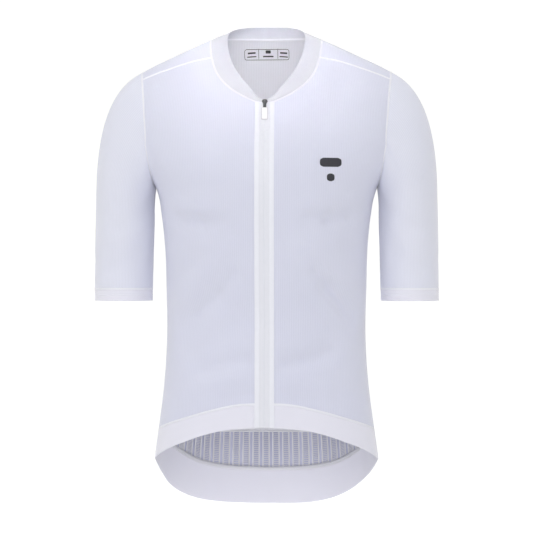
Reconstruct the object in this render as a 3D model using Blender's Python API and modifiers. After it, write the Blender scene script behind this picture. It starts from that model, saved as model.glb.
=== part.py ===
"""Short-sleeved cycling jersey with a full zip, filled out as it is worn, with nobody in it.

Each piece that is cut and sewn on is one closed wall of cloth on a shared form: the torso form
is a stack of rounded sections up to the chest, which goes on over the shoulders in columns.
Seams are short tables on that form, and each panel is a patch between its four seams.
Axes: +X to the wearer's left, -Y to the front, +Z up.  The origin is in the middle of the neck,
level with the shoulders, where the wearer holds the garment up.  Sizes are in millimetres.
"""

import math
from bisect import bisect_right
from collections import namedtuple

import bmesh
import bpy
from mathutils import Matrix, Vector

MM = 0.001
COLLECTION_NAME = "cycling_jersey"

# Cloth
BODY_CLOTH = 1.0
BAND_CLOTH = 1.2
SEAM_GAP = 0.3
SHARP_ANGLE = 50.0

# Torso form
SQUARENESS = 2.3
BASE_Z = -150.0
SHOULDER_SCALE = 112.0
RIDGE_RISE = SHOULDER_SCALE * math.pi / 2

Section = namedtuple("Section", "z half_width front_depth back_depth")
SECTIONS = [
    Section(-700.0, 164.5, 100.0, 119.0),
    Section(-610.0, 164.3, 100.0, 117.0),
    Section(-556.0, 157.1, 102.0, 110.0),
    Section(-509.0, 151.2, 104.0, 102.0),
    Section(-461.0, 147.3, 105.0, 96.0),
    Section(-414.0, 145.8, 106.0, 92.0),
    Section(-361.0, 147.0, 109.0, 95.0),
    Section(-302.0, 148.7, 113.0, 103.0),
    Section(-273.0, 151.0, 115.0, 108.0),
    Section(-243.0, 154.5, 117.5, 113.0),
    Section(-228.0, 156.7, 118.0, 116.0),
    Section(-208.5, 163.0, 118.0, 119.0),
    Section(-190.0, 174.0, 117.0, 120.5),
    Section(-165.0, 186.0, 112.5, 121.0),
    Section(-150.0, 190.5, 108.0, 121.0),
    Section(-100.0, 200.0, 87.0, 117.0),
    Section(-50.0, 205.0, 78.0, 112.0),
    Section(0.0, 207.0, 75.0, 110.0),
    Section(40.0, 207.0, 75.0, 110.0),
]

Ridge = namedtuple("Ridge", "x z")
RIDGE = [
    Ridge(0.0, 40.0),
    Ridge(20.0, 37.0),
    Ridge(40.0, 29.5),
    Ridge(60.0, 18.6),
    Ridge(80.0, 8.8),
    Ridge(100.0, 0.0),
    Ridge(140.0, -18.4),
    Ridge(172.0, -33.6),
    Ridge(184.0, -40.2),
    Ridge(200.0, -50.0),
]

# Seams: a height at each angle round the form, from 0 at the centre front to 180 at the back
Line = namedtuple("Line", "angle z")
FRONT_BAND_SEAM = [
    Line(0.0, -521.6),
    Line(12.0, -524.0),
    Line(24.0, -530.5),
    Line(47.0, -545.0),
    Line(70.0, -557.0),
    Line(90.0, -565.0),
]
FRONT_HEM = [
    Line(0.0, -555.4),
    Line(20.0, -561.0),
    Line(47.6, -581.0),
    Line(70.0, -597.5),
    Line(90.0, -610.0),
]
BACK_BAND_SEAM = [
    Line(90.0, -565.0),
    Line(108.0, -583.0),
    Line(126.0, -602.0),
    Line(145.0, -623.0),
    Line(162.0, -632.5),
    Line(180.0, -635.5),
]
MESH_TOP_SEAM = [
    Line(90.0, -553.0),
    Line(115.0, -566.0),
    Line(140.0, -574.0),
    Line(160.0, -576.5),
    Line(180.0, -577.0),
]

# The tail's hem, from the left side seam round to the right: it hangs a little to the right
BACK_HEM = [
    Line(90.0, -610.0),
    Line(98.0, -615.5),
    Line(106.0, -624.5),
    Line(116.0, -638.5),
    Line(124.0, -650.0),
    Line(134.0, -664.0),
    Line(145.0, -676.0),
    Line(160.0, -685.5),
    Line(180.0, -688.0),
    Line(203.0, -685.0),
    Line(217.0, -679.0),
    Line(229.0, -669.0),
    Line(238.0, -658.5),
    Line(244.0, -649.5),
    Line(250.0, -637.5),
    Line(256.0, -627.5),
    Line(262.0, -619.0),
    Line(270.0, -610.0),
]

# Side seam: its angle round the form at each height, down from the underarm
SideSeam = namedtuple("SideSeam", "z angle")
SIDE_SEAM = [
    SideSeam(-610.0, 89.5),
    SideSeam(-560.0, 87.5),
    SideSeam(-500.0, 84.5),
    SideSeam(-400.0, 81.5),
    SideSeam(-300.0, 81.0),
    SideSeam(-250.0, 84.0),
    SideSeam(-225.0, 87.0),
    SideSeam(-208.5, 90.0),
]
UNDERARM_Z = -208.5

# Seams on the wearer's left: width and height of their points on the front or the back
FRONT = "front"
BACK = "back"
RIDGE_LINE = "ridge"
SeamPoint = namedtuple("SeamPoint", "face x z")
ARMHOLE_FRONT = [
    SeamPoint(FRONT, 163.0, UNDERARM_Z),
    SeamPoint(FRONT, 167.8, -190.0),
    SeamPoint(FRONT, 172.0, -165.0),
    SeamPoint(FRONT, 174.5, -140.0),
    SeamPoint(FRONT, 177.0, -106.0),
    SeamPoint(FRONT, 179.6, -72.0),
    SeamPoint(FRONT, 182.0, -52.0),
]
ARMHOLE_BACK = [
    SeamPoint(BACK, 163.0, UNDERARM_Z),
    SeamPoint(BACK, 167.0, -192.0),
    SeamPoint(BACK, 172.0, -168.0),
    SeamPoint(BACK, 175.5, -140.0),
    SeamPoint(BACK, 178.5, -106.0),
    SeamPoint(BACK, 181.0, -72.0),
    SeamPoint(RIDGE_LINE, 183.5, 0.0),
    SeamPoint(FRONT, 182.0, -52.0),
]
NECK_FRONT = [
    SeamPoint(FRONT, 0.0, -91.0),
    SeamPoint(FRONT, 15.0, -88.3),
    SeamPoint(FRONT, 30.0, -81.0),
    SeamPoint(FRONT, 46.0, -71.5),
    SeamPoint(FRONT, 60.0, -59.5),
    SeamPoint(FRONT, 71.0, -44.0),
    SeamPoint(FRONT, 78.5, -22.0),
]
NECK_SIDE = [
    SeamPoint(BACK, 76.0, 9.4),
    SeamPoint(RIDGE_LINE, 80.2, 0.0),
    SeamPoint(FRONT, 80.8, -3.0),
    SeamPoint(FRONT, 78.5, -22.0),
]
NAPE = [
    SeamPoint(BACK, 76.0, 9.4),
    SeamPoint(BACK, 62.0, 11.6),
    SeamPoint(BACK, 44.0, 12.8),
    SeamPoint(BACK, 22.0, 13.4),
    SeamPoint(BACK, 0.0, 13.5),
]
SHOULDER_SEAM = [
    SeamPoint(FRONT, 78.5, -22.0),
    SeamPoint(FRONT, 104.0, -26.5),
    SeamPoint(FRONT, 129.0, -33.5),
    SeamPoint(FRONT, 155.0, -42.0),
    SeamPoint(FRONT, 182.0, -52.0),
]

# Collar rim on the wearer's left, from the zip round to the centre back
RimPoint = namedtuple("RimPoint", "x y z")
COLLAR_RIM = [
    RimPoint(0.6, -74.0, -86.5),
    RimPoint(10.5, -74.0, -84.0),
    RimPoint(24.5, -69.0, -67.5),
    RimPoint(38.0, -59.0, -48.0),
    RimPoint(50.0, -44.0, -25.0),
    RimPoint(55.0, -26.0, -5.5),
    RimPoint(56.5, -6.0, 11.0),
    RimPoint(54.0, 17.0, 21.5),
    RimPoint(45.0, 37.0, 28.5),
    RimPoint(26.0, 52.5, 32.5),
    RimPoint(0.0, 58.5, 33.5),
]
COLLAR_CROWN = 1.6

# Zip
ZIP_SLIT = 0.4
TAPE_EDGE = 15.0
CHAIN_HALF_WIDTH = 2.6
CHAIN_THICKNESS = 1.4
CHAIN_TOP_Z = -96.0

# Sleeve: a cap that turns down to a level ring, then a tube down to the cuff
Ring = namedtuple("Ring", "z x_inner x_outer half_depth y_centre")
BICEPS_RING = Ring(-228.0, 164.6, 251.6, 57.0, 1.5)
FOREARM_RING = Ring(-300.0, 166.9, 253.0, 55.5, 0.5)
CUFF_SEAM_RING = Ring(-358.5, 168.3, 253.2, 54.0, 0.0)
CUFF_HEM_RING = Ring(-376.0, 168.3, 253.2, 54.0, 0.0)
DROOP_UNDERARM = 90.0
DROOP_SHOULDER = 25.0
GUIDE_START = 0.28
GUIDE_END = 0.48

# Pockets on the back: edges as columns and rows of the back's own grid
POCKET_COLUMN_MARGIN = 4
POCKET_ROWS_ON_BACK = 5
POCKET_COUNT = 3
POCKET_LIFT = 0.4
POCKET_FULLNESS = 2.4

# Counts of grid cells
SIDE_ROWS = 15
ARMHOLE_FRONT_ROWS = 11
ARMHOLE_BACK_ROWS = 13
NECK_TAPE_COLUMNS = 1
NECK_FRONT_COLUMNS = 7
NECK_SIDE_ROWS = 4
NAPE_COLUMNS = 5
SHOULDER_COLUMNS = 5
BAND_ROWS = 3
MESH_ROWS = 4
COLLAR_ROWS = 4
SLEEVE_CAP_ROWS = 8
SLEEVE_TUBE_ROWS = 4
CUFF_ROWS = 2
FRONT_COLUMNS = NECK_FRONT_COLUMNS + SHOULDER_COLUMNS
BACK_HALF_COLUMNS = NAPE_COLUMNS + SHOULDER_COLUMNS
FRONT_ROWS = SIDE_ROWS + ARMHOLE_FRONT_ROWS
BACK_SIDE_ROWS = 14
BACK_ROWS = BACK_SIDE_ROWS + ARMHOLE_BACK_ROWS

# Largest folds of the body: soft troughs (negative depth) and ridges between two ends
Fold = namedtuple("Fold", "face x_start z_start x_end z_end width depth")
BODY_FOLDS = [
    Fold(FRONT, -132.0, -226.0, -76.0, -250.0, 19.0, -2.2),
    Fold(FRONT, 130.0, -224.0, 70.0, -252.0, 21.0, -2.4),
    Fold(FRONT, -128.0, -398.0, -60.0, -328.0, 24.0, -2.6),
    Fold(FRONT, 131.0, -404.0, 56.0, -326.0, 26.0, -2.4),
    Fold(FRONT, -124.0, -318.0, -70.0, -286.0, 20.0, 1.6),
    Fold(FRONT, 120.0, -314.0, 66.0, -288.0, 22.0, 1.4),
    Fold(FRONT, -100.0, -468.0, -34.0, -424.0, 25.0, -1.8),
    Fold(FRONT, 96.0, -476.0, 38.0, -440.0, 23.0, -1.5),
    Fold(BACK, -118.0, -392.0, -40.0, -352.0, 26.0, -3.0),
    Fold(BACK, 122.0, -400.0, 34.0, -346.0, 28.0, -2.7),
    Fold(BACK, -100.0, -330.0, -30.0, -312.0, 22.0, 2.0),
    Fold(BACK, 104.0, -326.0, 26.0, -306.0, 22.0, 1.7),
    Fold(BACK, -110.0, -242.0, -66.0, -280.0, 24.0, -1.7),
    Fold(BACK, 106.0, -236.0, 70.0, -284.0, 24.0, -1.5),
    Fold(BACK, 4.0, -120.0, -3.0, -250.0, 24.0, -2.6),
]

# Largest folds of a sleeve, by angle round it from the underarm over the back
SleeveFold = namedtuple("SleeveFold", "angle_start z_start angle_end z_end width depth")
SLEEVE_FOLDS = [
    SleeveFold(20.0, -236.0, 95.0, -276.0, 16.0, -2.2),
    SleeveFold(335.0, -238.0, 262.0, -268.0, 17.0, -2.0),
    SleeveFold(300.0, -312.0, 245.0, -330.0, 15.0, -1.2),
]

# Colours as linear RGB, roughness and metallic
Finish = namedtuple("Finish", "name colour roughness metallic")
KNIT = Finish("white_knit", (0.78, 0.80, 0.90, 1.0), 0.85, 0.0)
MESH_KNIT = Finish("ladder_mesh", (0.62, 0.64, 0.76, 1.0), 0.88, 0.0)
BAND = Finish("white_elastic", (0.86, 0.87, 0.93, 1.0), 0.75, 0.0)
TAPE = Finish("zip_tape", (0.88, 0.88, 0.93, 1.0), 0.70, 0.0)
COIL = Finish("zip_coil", (0.80, 0.80, 0.84, 1.0), 0.45, 0.0)
METAL = Finish("slider_metal", (0.16, 0.16, 0.17, 1.0), 0.35, 0.9)
PULL = Finish("pull_rubber", (0.90, 0.90, 0.93, 1.0), 0.55, 0.0)

# Slider and pull, in the slider's own frame: across, up along the zip, out from the cloth
HINGE_Z = -91.6
PLATE_LIFT = 0.6
PLATE_THICKNESS = 1.6
PLATE_TOP = 6.0
PLATE_BOTTOM = -5.4
PLATE_WIDTH_TOP = 7.6
PLATE_WIDTH_BOTTOM = 5.4
PLATE_BEVEL = 0.4
PLATE_BEVEL_SEGMENTS = 2
HINGE_OUT = 3.2
BRIDGE_WIRE = 0.7
BRIDGE_SPAN = 3.0
BRIDGE_OUT = 4.9
BRIDGE_STEPS = 8
BRIDGE_SINK = 0.5
BRIDGE_ROUNDNESS = 0.6
BRIDGE_WIRE_SEGMENTS = 2
WELD_DISTANCE = 0.01
PULL_THICKNESS = 1.0
PULL_BAR = 0.5
PULL_WINDOW = 4.0
PULL_WINDOW_HALF = 1.3
PULL_HEAD_HALF = 2.4
PULL_TAB_TOP = -5.4
PULL_TAB_BOTTOM = -23.4
PULL_TAB_HALF = 4.6
PULL_CORNER = 1.2


class SmoothCurve:
    """A smooth curve through the rows of a table, read at any place along it."""

    def __init__(self, keys, values):
        self.keys = list(keys)
        self.values = list(values)
        steps = [b - a for a, b in zip(self.keys, self.keys[1:])]
        rises = [(b - a) / s for a, b, s in zip(self.values, self.values[1:], steps)]
        inner = [
            (rises[i] * steps[i + 1] + rises[i + 1] * steps[i]) / (steps[i] + steps[i + 1])
            for i in range(len(rises) - 1)
        ]
        self.slopes = [rises[0]] + inner + [rises[-1]]

    def __call__(self, key):
        key = min(max(key, self.keys[0]), self.keys[-1])
        i = min(bisect_right(self.keys, key) - 1, len(self.keys) - 2)
        step = self.keys[i + 1] - self.keys[i]
        t = (key - self.keys[i]) / step
        start = (1 + 2 * t) * (1 - t) ** 2 * self.values[i]
        end = t * t * (3 - 2 * t) * self.values[i + 1]
        lean = t * (1 - t) ** 2 * self.slopes[i] - t * t * (1 - t) * self.slopes[i + 1]
        return start + end + step * lean


def table_curve(rows, key, value):
    """The smooth curve of one named column of a table over another."""
    return SmoothCurve([getattr(row, key) for row in rows], [getattr(row, value) for row in rows])


half_width = table_curve(SECTIONS, "z", "half_width")
front_depth = table_curve(SECTIONS, "z", "front_depth")
back_depth = table_curve(SECTIONS, "z", "back_depth")
ridge_height = table_curve(RIDGE, "x", "z")
side_seam_angle = table_curve(SIDE_SEAM, "z", "angle")


def signed_power(value, power):
    """A power that keeps the sign of its base."""
    return math.copysign(abs(value) ** power, value)


def bare_point(angle, rise):
    """Point of the torso form at an angle round it and a rise from the chest line."""
    across = signed_power(math.sin(angle), 2 / SQUARENESS)
    along = signed_power(math.cos(angle), 2 / SQUARENESS)
    if rise <= 0:
        z = BASE_Z + rise
        depth = front_depth(z) if along > 0 else back_depth(z)
        return Vector((half_width(z) * across, -depth * along, z))
    turn = rise / SHOULDER_SCALE
    x = half_width(BASE_Z) * across
    z = BASE_Z + (ridge_height(abs(x)) - BASE_Z) * math.sin(turn)
    reach = math.cos(turn) * (-1 if along > 0 else 1)
    depth = front_depth(z) if reach < 0 else back_depth(z)
    narrowing = (1 - min(1.0, abs(x) / half_width(z)) ** SQUARENESS) ** (1 / SQUARENESS)
    return Vector((x, depth * narrowing * reach, z))


def form_normal(angle, rise):
    """Outward direction of the torso form."""
    turn_step = 0.01
    rise_step = 1.0
    across = bare_point(angle + turn_step, rise) - bare_point(angle - turn_step, rise)
    upward = bare_point(angle, rise + rise_step) - bare_point(angle, rise - rise_step)
    return across.cross(upward).normalized()


def form_place(face, x, z, from_back=False):
    """Angle and rise of the point at a width and height, on the front, the back or the ridge.

    With from_back, a point on the front is reached from the back, over the ridge.
    """
    if face == RIDGE_LINE:
        z = ridge_height(abs(x))
    if z <= BASE_Z:
        width = half_width(z)
        rise = z - BASE_Z
    else:
        width = half_width(BASE_Z)
        share = (z - BASE_Z) / (ridge_height(abs(x)) - BASE_Z)
        rise = SHOULDER_SCALE * math.asin(min(1.0, share))
    angle = math.asin(min(1.0, abs(x) / width) ** (SQUARENESS / 2))
    if face == BACK or from_back:
        angle = math.pi - angle
    if face == FRONT and from_back:
        rise = 2 * RIDGE_RISE - rise
    return Vector((math.copysign(angle, x), rise))


def distance_to_segment(point, start, end):
    """Distance from a point to a straight stretch between two points."""
    along = end - start
    share = max(0.0, min(1.0, (point - start).dot(along) / along.length_squared))
    return (point - (start + along * share)).length


FOLD_LINES = [
    (
        bare_point(*form_place(fold.face, fold.x_start, fold.z_start)),
        bare_point(*form_place(fold.face, fold.x_end, fold.z_end)),
        fold,
    )
    for fold in BODY_FOLDS
]


def fold_height(point, fold_lines):
    """How far the folds move a point out from the bare form."""
    height = 0.0
    for start, end, fold in fold_lines:
        distance = distance_to_segment(point, start, end)
        height += fold.depth * math.exp(-((distance / fold.width) ** 2))
    return height


def cloth_point(angle, rise):
    """Point of the cloth's outer face, and its outward direction."""
    point = bare_point(angle, rise)
    normal = form_normal(angle, rise)
    return point + normal * fold_height(point, FOLD_LINES), normal


def spread_along(places, count, point_at):
    """Evenly spaced places on the smooth curve through the given ones."""
    lengths = [0.0]
    for first, second in zip(places, places[1:]):
        lengths.append(lengths[-1] + (point_at(*second) - point_at(*first)).length)
    curves = [SmoothCurve(lengths, [place[i] for place in places]) for i in range(2)]
    stops = [lengths[-1] * i / count for i in range(count + 1)]
    return [Vector((curves[0](stop), curves[1](stop))) for stop in stops]


def between(start, end, count):
    """Evenly spaced places between two."""
    return [start.lerp(end, i / count) for i in range(count + 1)]


def seam_line(rows, first_angle, last_angle, count):
    """Places along a seam that is a height at each angle."""
    height = table_curve(rows, "angle", "z")
    angles = [first_angle + (last_angle - first_angle) * i / count for i in range(count + 1)]
    return [Vector((math.radians(angle), height(angle) - BASE_Z)) for angle in angles]


def side_seam_line(z_low, z_high, count):
    """Places up the left side seam, seen from the front."""
    heights = [z_low + (z_high - z_low) * i / count for i in range(count + 1)]
    return [Vector((math.radians(side_seam_angle(z)), z - BASE_Z)) for z in heights]


def seam_points(rows, count, from_back=False):
    """Places along a seam on the left shoulder, from its table."""
    places = [form_place(row.face, row.x, row.z, from_back) for row in rows]
    return spread_along(places, count, bare_point)


def seen_from_back(places):
    """The same points of the form, reached from the back over the ridge."""
    return [Vector((math.pi - place[0], 2 * RIDGE_RISE - place[1])) for place in places]


def other_side(places):
    """The mirrored places on the wearer's right, in reverse order, for the back."""
    return [Vector((2 * math.pi - place[0], place[1])) for place in reversed(places)]


def zip_line(x, z_low, z_high, count):
    """Places up the front at a fixed width from the middle of the zip."""
    low = form_place(FRONT, x, z_low)
    high = form_place(FRONT, x, z_high)
    rises = [low[1] + (high[1] - low[1]) * i / count for i in range(count + 1)]
    places = []
    for rise in rises:
        width = half_width(BASE_Z + min(rise, 0.0))
        places.append(Vector((math.asin((x / width) ** (SQUARENESS / 2)), rise)))
    return places


def patch(bottom, top, first_side, last_side, first_column=0):
    """Grid of places between four edges, blended from all of them, by row and column."""
    rows = len(first_side) - 1
    columns = len(bottom) - 1
    grid = {}
    for i in range(rows + 1):
        v = i / rows
        for j in range(columns + 1):
            u = j / columns
            from_ends = bottom[j].lerp(top[j], v)
            from_sides = first_side[i].lerp(last_side[i], u)
            corners = bottom[0].lerp(bottom[-1], u).lerp(top[0].lerp(top[-1], u), v)
            grid[i, first_column + j] = from_ends + from_sides - corners
    return grid


def grid_size(grid):
    """Number of the last row and of the last column of a grid."""
    return max(i for i, _ in grid), max(j for _, j in grid)


def grid_row(grid, i):
    """One row of a grid, in the order of its columns."""
    return [grid[key] for key in sorted(grid) if key[0] == i]


def grid_column(grid, j):
    """One column of a grid, in the order of its rows."""
    return [grid[key] for key in sorted(grid) if key[1] == j]


def grid_points(places):
    """Points and outward directions for a grid of places on the form."""
    points = {}
    normals = {}
    for key, place in places.items():
        points[key], normals[key] = cloth_point(*place)
    return points, normals


def grid_normals(points, closed):
    """Outward directions of a full grid of points from its neighbours."""
    last_row, last_column = grid_size(points)
    columns = last_column + 1
    normals = {}
    for i, j in points:
        before = (j - 1) % columns if closed else max(j - 1, 0)
        after = (j + 1) % columns if closed else min(j + 1, last_column)
        across = points[i, after] - points[i, before]
        along = points[min(i + 1, last_row), j] - points[max(i - 1, 0), j]
        normals[i, j] = across.cross(along).normalized()
    return normals


def grid_faces(grid, closed):
    """The cells of a grid whose four corners are there, turned outwards."""
    columns = grid_size(grid)[1] + 1
    faces = []
    for i, j in sorted(grid):
        k = (j + 1) % columns if closed else j + 1
        corners = ((i, j), (i, k), (i + 1, k), (i + 1, j))
        if all(corner in grid for corner in corners):
            faces.append(corners)
    return faces


def border_edges(faces):
    """The edges that only one cell has, in that cell's turning direction."""
    edges = {(a, b) for face in faces for a, b in zip(face, face[1:] + face[:1])}
    return sorted(edge for edge in edges if (edge[1], edge[0]) not in edges)


def open_seams(points, normals):
    """Draws every edge of a grid back by half the seam gap, within the cloth."""
    inward = {}
    for a, b in border_edges(grid_faces(points, closed=False)):
        along = (points[b] - points[a]).normalized()
        for key in (a, b):
            inward.setdefault(key, []).append(normals[key].cross(along).normalized())
    moved = dict(points)
    for key, (first, second) in inward.items():
        mitre = (first + second) / (1 + first.dot(second))
        moved[key] = points[key] + mitre * SEAM_GAP / 2
    return moved


def mirrored_grid(grid):
    """The same points on the other side of the body, columns reversed."""
    last_column = grid_size(grid)[1]
    return {(i, last_column - j): mirrored_point(point) for (i, j), point in grid.items()}


def mirrored_point(point):
    """The same point on the other side of the body."""
    return Vector((-point.x, point.y, point.z))


def mirrored_places(grid, whole_turn=0.0):
    """The same places on the right side, columns reversed; the back counts a whole turn on."""
    last_column = grid_size(grid)[1]
    return {
        (i, last_column - j): Vector((whole_turn - place[0], place[1]))
        for (i, j), place in grid.items()
    }


def finish_material(finish):
    """Principled material of a finish, made once."""
    material = bpy.data.materials.get(finish.name)
    if material is None:
        material = bpy.data.materials.new(finish.name)
        material.use_nodes = True
        shader = material.node_tree.nodes["Principled BSDF"]
        shader.inputs["Base Color"].default_value = finish.colour
        shader.inputs["Roughness"].default_value = finish.roughness
        shader.inputs["Metallic"].default_value = finish.metallic
        material.diffuse_color = finish.colour
    return material


def cell_triangles(cell, points):
    """A cell as two triangles, split along its shorter diagonal."""
    a, b, c, d = cell
    if (points[a] - points[c]).length <= (points[b] - points[d]).length:
        return (a, b, c), (a, c, d)
    return (a, b, d), (b, c, d)


def cloth_wall(name, outer, normals, thickness, finish, collection, closed=False):
    """One closed wall of cloth: the outer grid, an inner one behind it, and rims between.

    Both skins of a twisted cell are split along the same diagonal, so they never cross.
    """
    shape = bmesh.new()
    outside = {key: shape.verts.new(point * MM) for key, point in outer.items()}
    inside = {
        key: shape.verts.new((point - normals[key] * thickness) * MM)
        for key, point in outer.items()
    }
    faces = grid_faces(outer, closed)
    for face in faces:
        for corners in cell_triangles(face, outer):
            shape.faces.new([outside[key] for key in corners])
            shape.faces.new([inside[key] for key in reversed(corners)])
    for a, b in border_edges(faces):
        shape.faces.new((outside[b], outside[a], inside[a], inside[b]))
    bmesh.ops.recalc_face_normals(shape, faces=shape.faces)
    mesh_data = bpy.data.meshes.new(name)
    shape.to_mesh(mesh_data)
    shape.free()
    mesh_data.materials.append(finish_material(finish))
    mesh_data.shade_smooth()
    mesh_data.set_sharp_from_angle(angle=math.radians(SHARP_ANGLE))
    collection.objects.link(bpy.data.objects.new(name, mesh_data))


def add_panel(name, places, thickness, finish, collection):
    """A sewn panel from its grid of places, drawn back at its seams."""
    points, normals = grid_points(places)
    cloth_wall(name, open_seams(points, normals), normals, thickness, finish, collection)


def add_panel_pair(name, places, thickness, finish, collection):
    """The left panel of the front and the one at the same places on the right."""
    add_panel(f"{name}_left", places, thickness, finish, collection)
    add_panel(f"{name}_right", mirrored_places(places), thickness, finish, collection)


def front_places():
    """Grid of a front half, from the zip tape to the side seam and armhole."""
    first_angle = math.degrees(form_place(FRONT, TAPE_EDGE, FRONT_BAND_SEAM[0].z)[0])
    last_angle = side_seam_angle(FRONT_BAND_SEAM[-1].z)
    bottom = seam_line(FRONT_BAND_SEAM, first_angle, last_angle, FRONT_COLUMNS)
    neck = seam_points(NECK_FRONT[1:], NECK_FRONT_COLUMNS)
    shoulder = seam_points(SHOULDER_SEAM, SHOULDER_COLUMNS)
    side = side_seam_line(FRONT_BAND_SEAM[-1].z, UNDERARM_Z, SIDE_ROWS)
    armhole = seam_points(ARMHOLE_FRONT, ARMHOLE_FRONT_ROWS)
    bottom[-1] = side[0]
    z_low = bottom[0][1] + BASE_Z
    tape_side = zip_line(TAPE_EDGE, z_low, NECK_FRONT[1].z, FRONT_ROWS)
    tape_side[0] = bottom[0]
    tape_side[-1] = neck[0]
    return patch(bottom, neck + shoulder[1:], tape_side, side + armhole[1:])


def front_band_places(front):
    """Grid of a front hem band, under a front half."""
    top = grid_row(front, 0)
    first_angle = math.degrees(top[0][0])
    last_angle = side_seam_angle(FRONT_HEM[-1].z)
    bottom = seam_line(FRONT_HEM, first_angle, last_angle, FRONT_COLUMNS)
    side = side_seam_line(FRONT_HEM[-1].z, FRONT_BAND_SEAM[-1].z, BAND_ROWS)
    bottom[-1] = side[0]
    return patch(bottom, top, between(bottom[0], top[0], BAND_ROWS), side)


def tape_places(front, band):
    """Grid of a zip tape strip, from the slit to the edge of a front half."""
    outer_side = grid_column(band, 0)[:-1] + grid_column(front, 0)
    slit_side = zip_line(ZIP_SLIT, FRONT_HEM[0].z, NECK_FRONT[0].z, len(outer_side) - 1)
    bottom = between(slit_side[0], outer_side[0], NECK_TAPE_COLUMNS)
    top = between(slit_side[-1], outer_side[-1], NECK_TAPE_COLUMNS)
    return patch(bottom, top, slit_side, outer_side)


def back_seam_edge(rows):
    """A seam across the whole back, from the left side seam to the right.

    A table that ends at the centre back is mirrored onto the other half.
    """
    first_angle = side_seam_angle(rows[0].z)
    if rows[-1].angle > 180.0:
        last_angle = 360.0 - first_angle
        ends = Line(first_angle, rows[0].z), Line(last_angle, rows[-1].z)
        whole_rows = [ends[0]] + rows[1:-1] + [ends[1]]
        return seam_line(whole_rows, first_angle, last_angle, 2 * BACK_HALF_COLUMNS)
    half_rows = [Line(first_angle, rows[0].z)] + rows[1:]
    half = seam_line(half_rows, first_angle, 180.0, BACK_HALF_COLUMNS)
    return half + other_side(half)[1:]


def back_places():
    """Grid of the upper back.

    Its middle columns end at the nape, and those on both shoulders run on over the ridge,
    past the side of the neck, to the forward shoulder seams.
    """
    bottom = back_seam_edge(MESH_TOP_SEAM)
    nape = seam_points(NAPE, NAPE_COLUMNS)
    neck_side = seam_points(NECK_SIDE, NECK_SIDE_ROWS, from_back=True)
    shoulder = seen_from_back(seam_points(SHOULDER_SEAM, SHOULDER_COLUMNS))
    armhole = seam_points(ARMHOLE_BACK, ARMHOLE_BACK_ROWS, from_back=True)
    side = side_seam_line(MESH_TOP_SEAM[0].z, UNDERARM_Z, BACK_SIDE_ROWS)
    side[0] = bottom[0]
    neck_column = between(bottom[SHOULDER_COLUMNS], nape[0], BACK_ROWS - NECK_SIDE_ROWS)
    over_shoulder = patch(
        bottom[: SHOULDER_COLUMNS + 1],
        list(reversed(shoulder)),
        side + armhole[1:],
        neck_column + neck_side[1:],
    )
    middle = patch(
        bottom[SHOULDER_COLUMNS:-SHOULDER_COLUMNS],
        nape + other_side(nape)[1:],
        neck_column,
        [Vector((2 * math.pi - place[0], place[1])) for place in neck_column],
        first_column=SHOULDER_COLUMNS,
    )
    right_shoulder = mirrored_places(over_shoulder, whole_turn=2 * math.pi)
    first_column = 2 * BACK_HALF_COLUMNS - SHOULDER_COLUMNS
    return {
        **over_shoulder,
        **middle,
        **{(i, j + first_column): place for (i, j), place in right_shoulder.items()},
    }


def strip_places(low_rows, high_edge, rows):
    """Grid of a strip across the back, between a seam below it and an edge above it."""
    bottom = back_seam_edge(low_rows)
    left = side_seam_line(bottom[0][1] + BASE_Z, high_edge[0][1] + BASE_Z, rows)
    left[0] = bottom[0]
    left[-1] = high_edge[0]
    right = [Vector((2 * math.pi - place[0], place[1])) for place in left]
    return patch(bottom, high_edge, left, right)


def add_pocket(back, mesh_strip, collection):
    """The pocket panel over the lower back, made from the back's own points moved out."""
    columns = range(POCKET_COLUMN_MARGIN, 2 * BACK_HALF_COLUMNS - POCKET_COLUMN_MARGIN + 1)
    places = {}
    for column, j in enumerate(columns):
        for i in range(MESH_ROWS):
            places[i, column] = mesh_strip[i, j]
        for i in range(POCKET_ROWS_ON_BACK + 1):
            places[MESH_ROWS + i, column] = back[i, j]
    points, normals = grid_points(places)
    last_row, last_column = grid_size(points)
    outer = {}
    for (i, j), point in points.items():
        swell = math.sin(math.pi * POCKET_COUNT * j / last_column) ** 2
        lift = POCKET_LIFT + POCKET_FULLNESS * swell * math.sin(math.pi / 2 * i / last_row)
        outer[i, j] = point + normals[i, j] * (lift + BODY_CLOTH)
    outer = open_seams(outer, normals)
    cloth_wall("pocket_panel", outer, normals, BODY_CLOTH, KNIT, collection)


def ring_point(ring, angle):
    """Point of a level sleeve ring, from the underarm at 0 over the back."""
    centre = (ring.x_inner + ring.x_outer) / 2
    half = (ring.x_outer - ring.x_inner) / 2
    x = centre - half * math.cos(angle)
    return Vector((x, ring.y_centre + ring.half_depth * math.sin(angle), ring.z))


def ring_between(first, second, share):
    """The ring at a share of the way from one to the other."""
    return Ring(*[a + (b - a) * share for a, b in zip(first, second)])


SLEEVE_FOLD_LINES = [
    (
        ring_point(BICEPS_RING._replace(z=fold.z_start), math.radians(fold.angle_start)),
        ring_point(BICEPS_RING._replace(z=fold.z_end), math.radians(fold.angle_end)),
        fold,
    )
    for fold in SLEEVE_FOLDS
]


def armhole_loop(is_right):
    """Points round an armhole, from the underarm up the back and down the front.

    The right armhole's points are mirrored, so that both sleeves are made on the left.
    """
    back = seam_points(ARMHOLE_BACK, ARMHOLE_BACK_ROWS, from_back=True)
    front = seam_points(ARMHOLE_FRONT, ARMHOLE_FRONT_ROWS)
    places = back + list(reversed(front[1:-1]))
    if not is_right:
        return [cloth_point(*place)[0] for place in places]
    return [mirrored_point(cloth_point(-place[0], place[1])[0]) for place in places]


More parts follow.
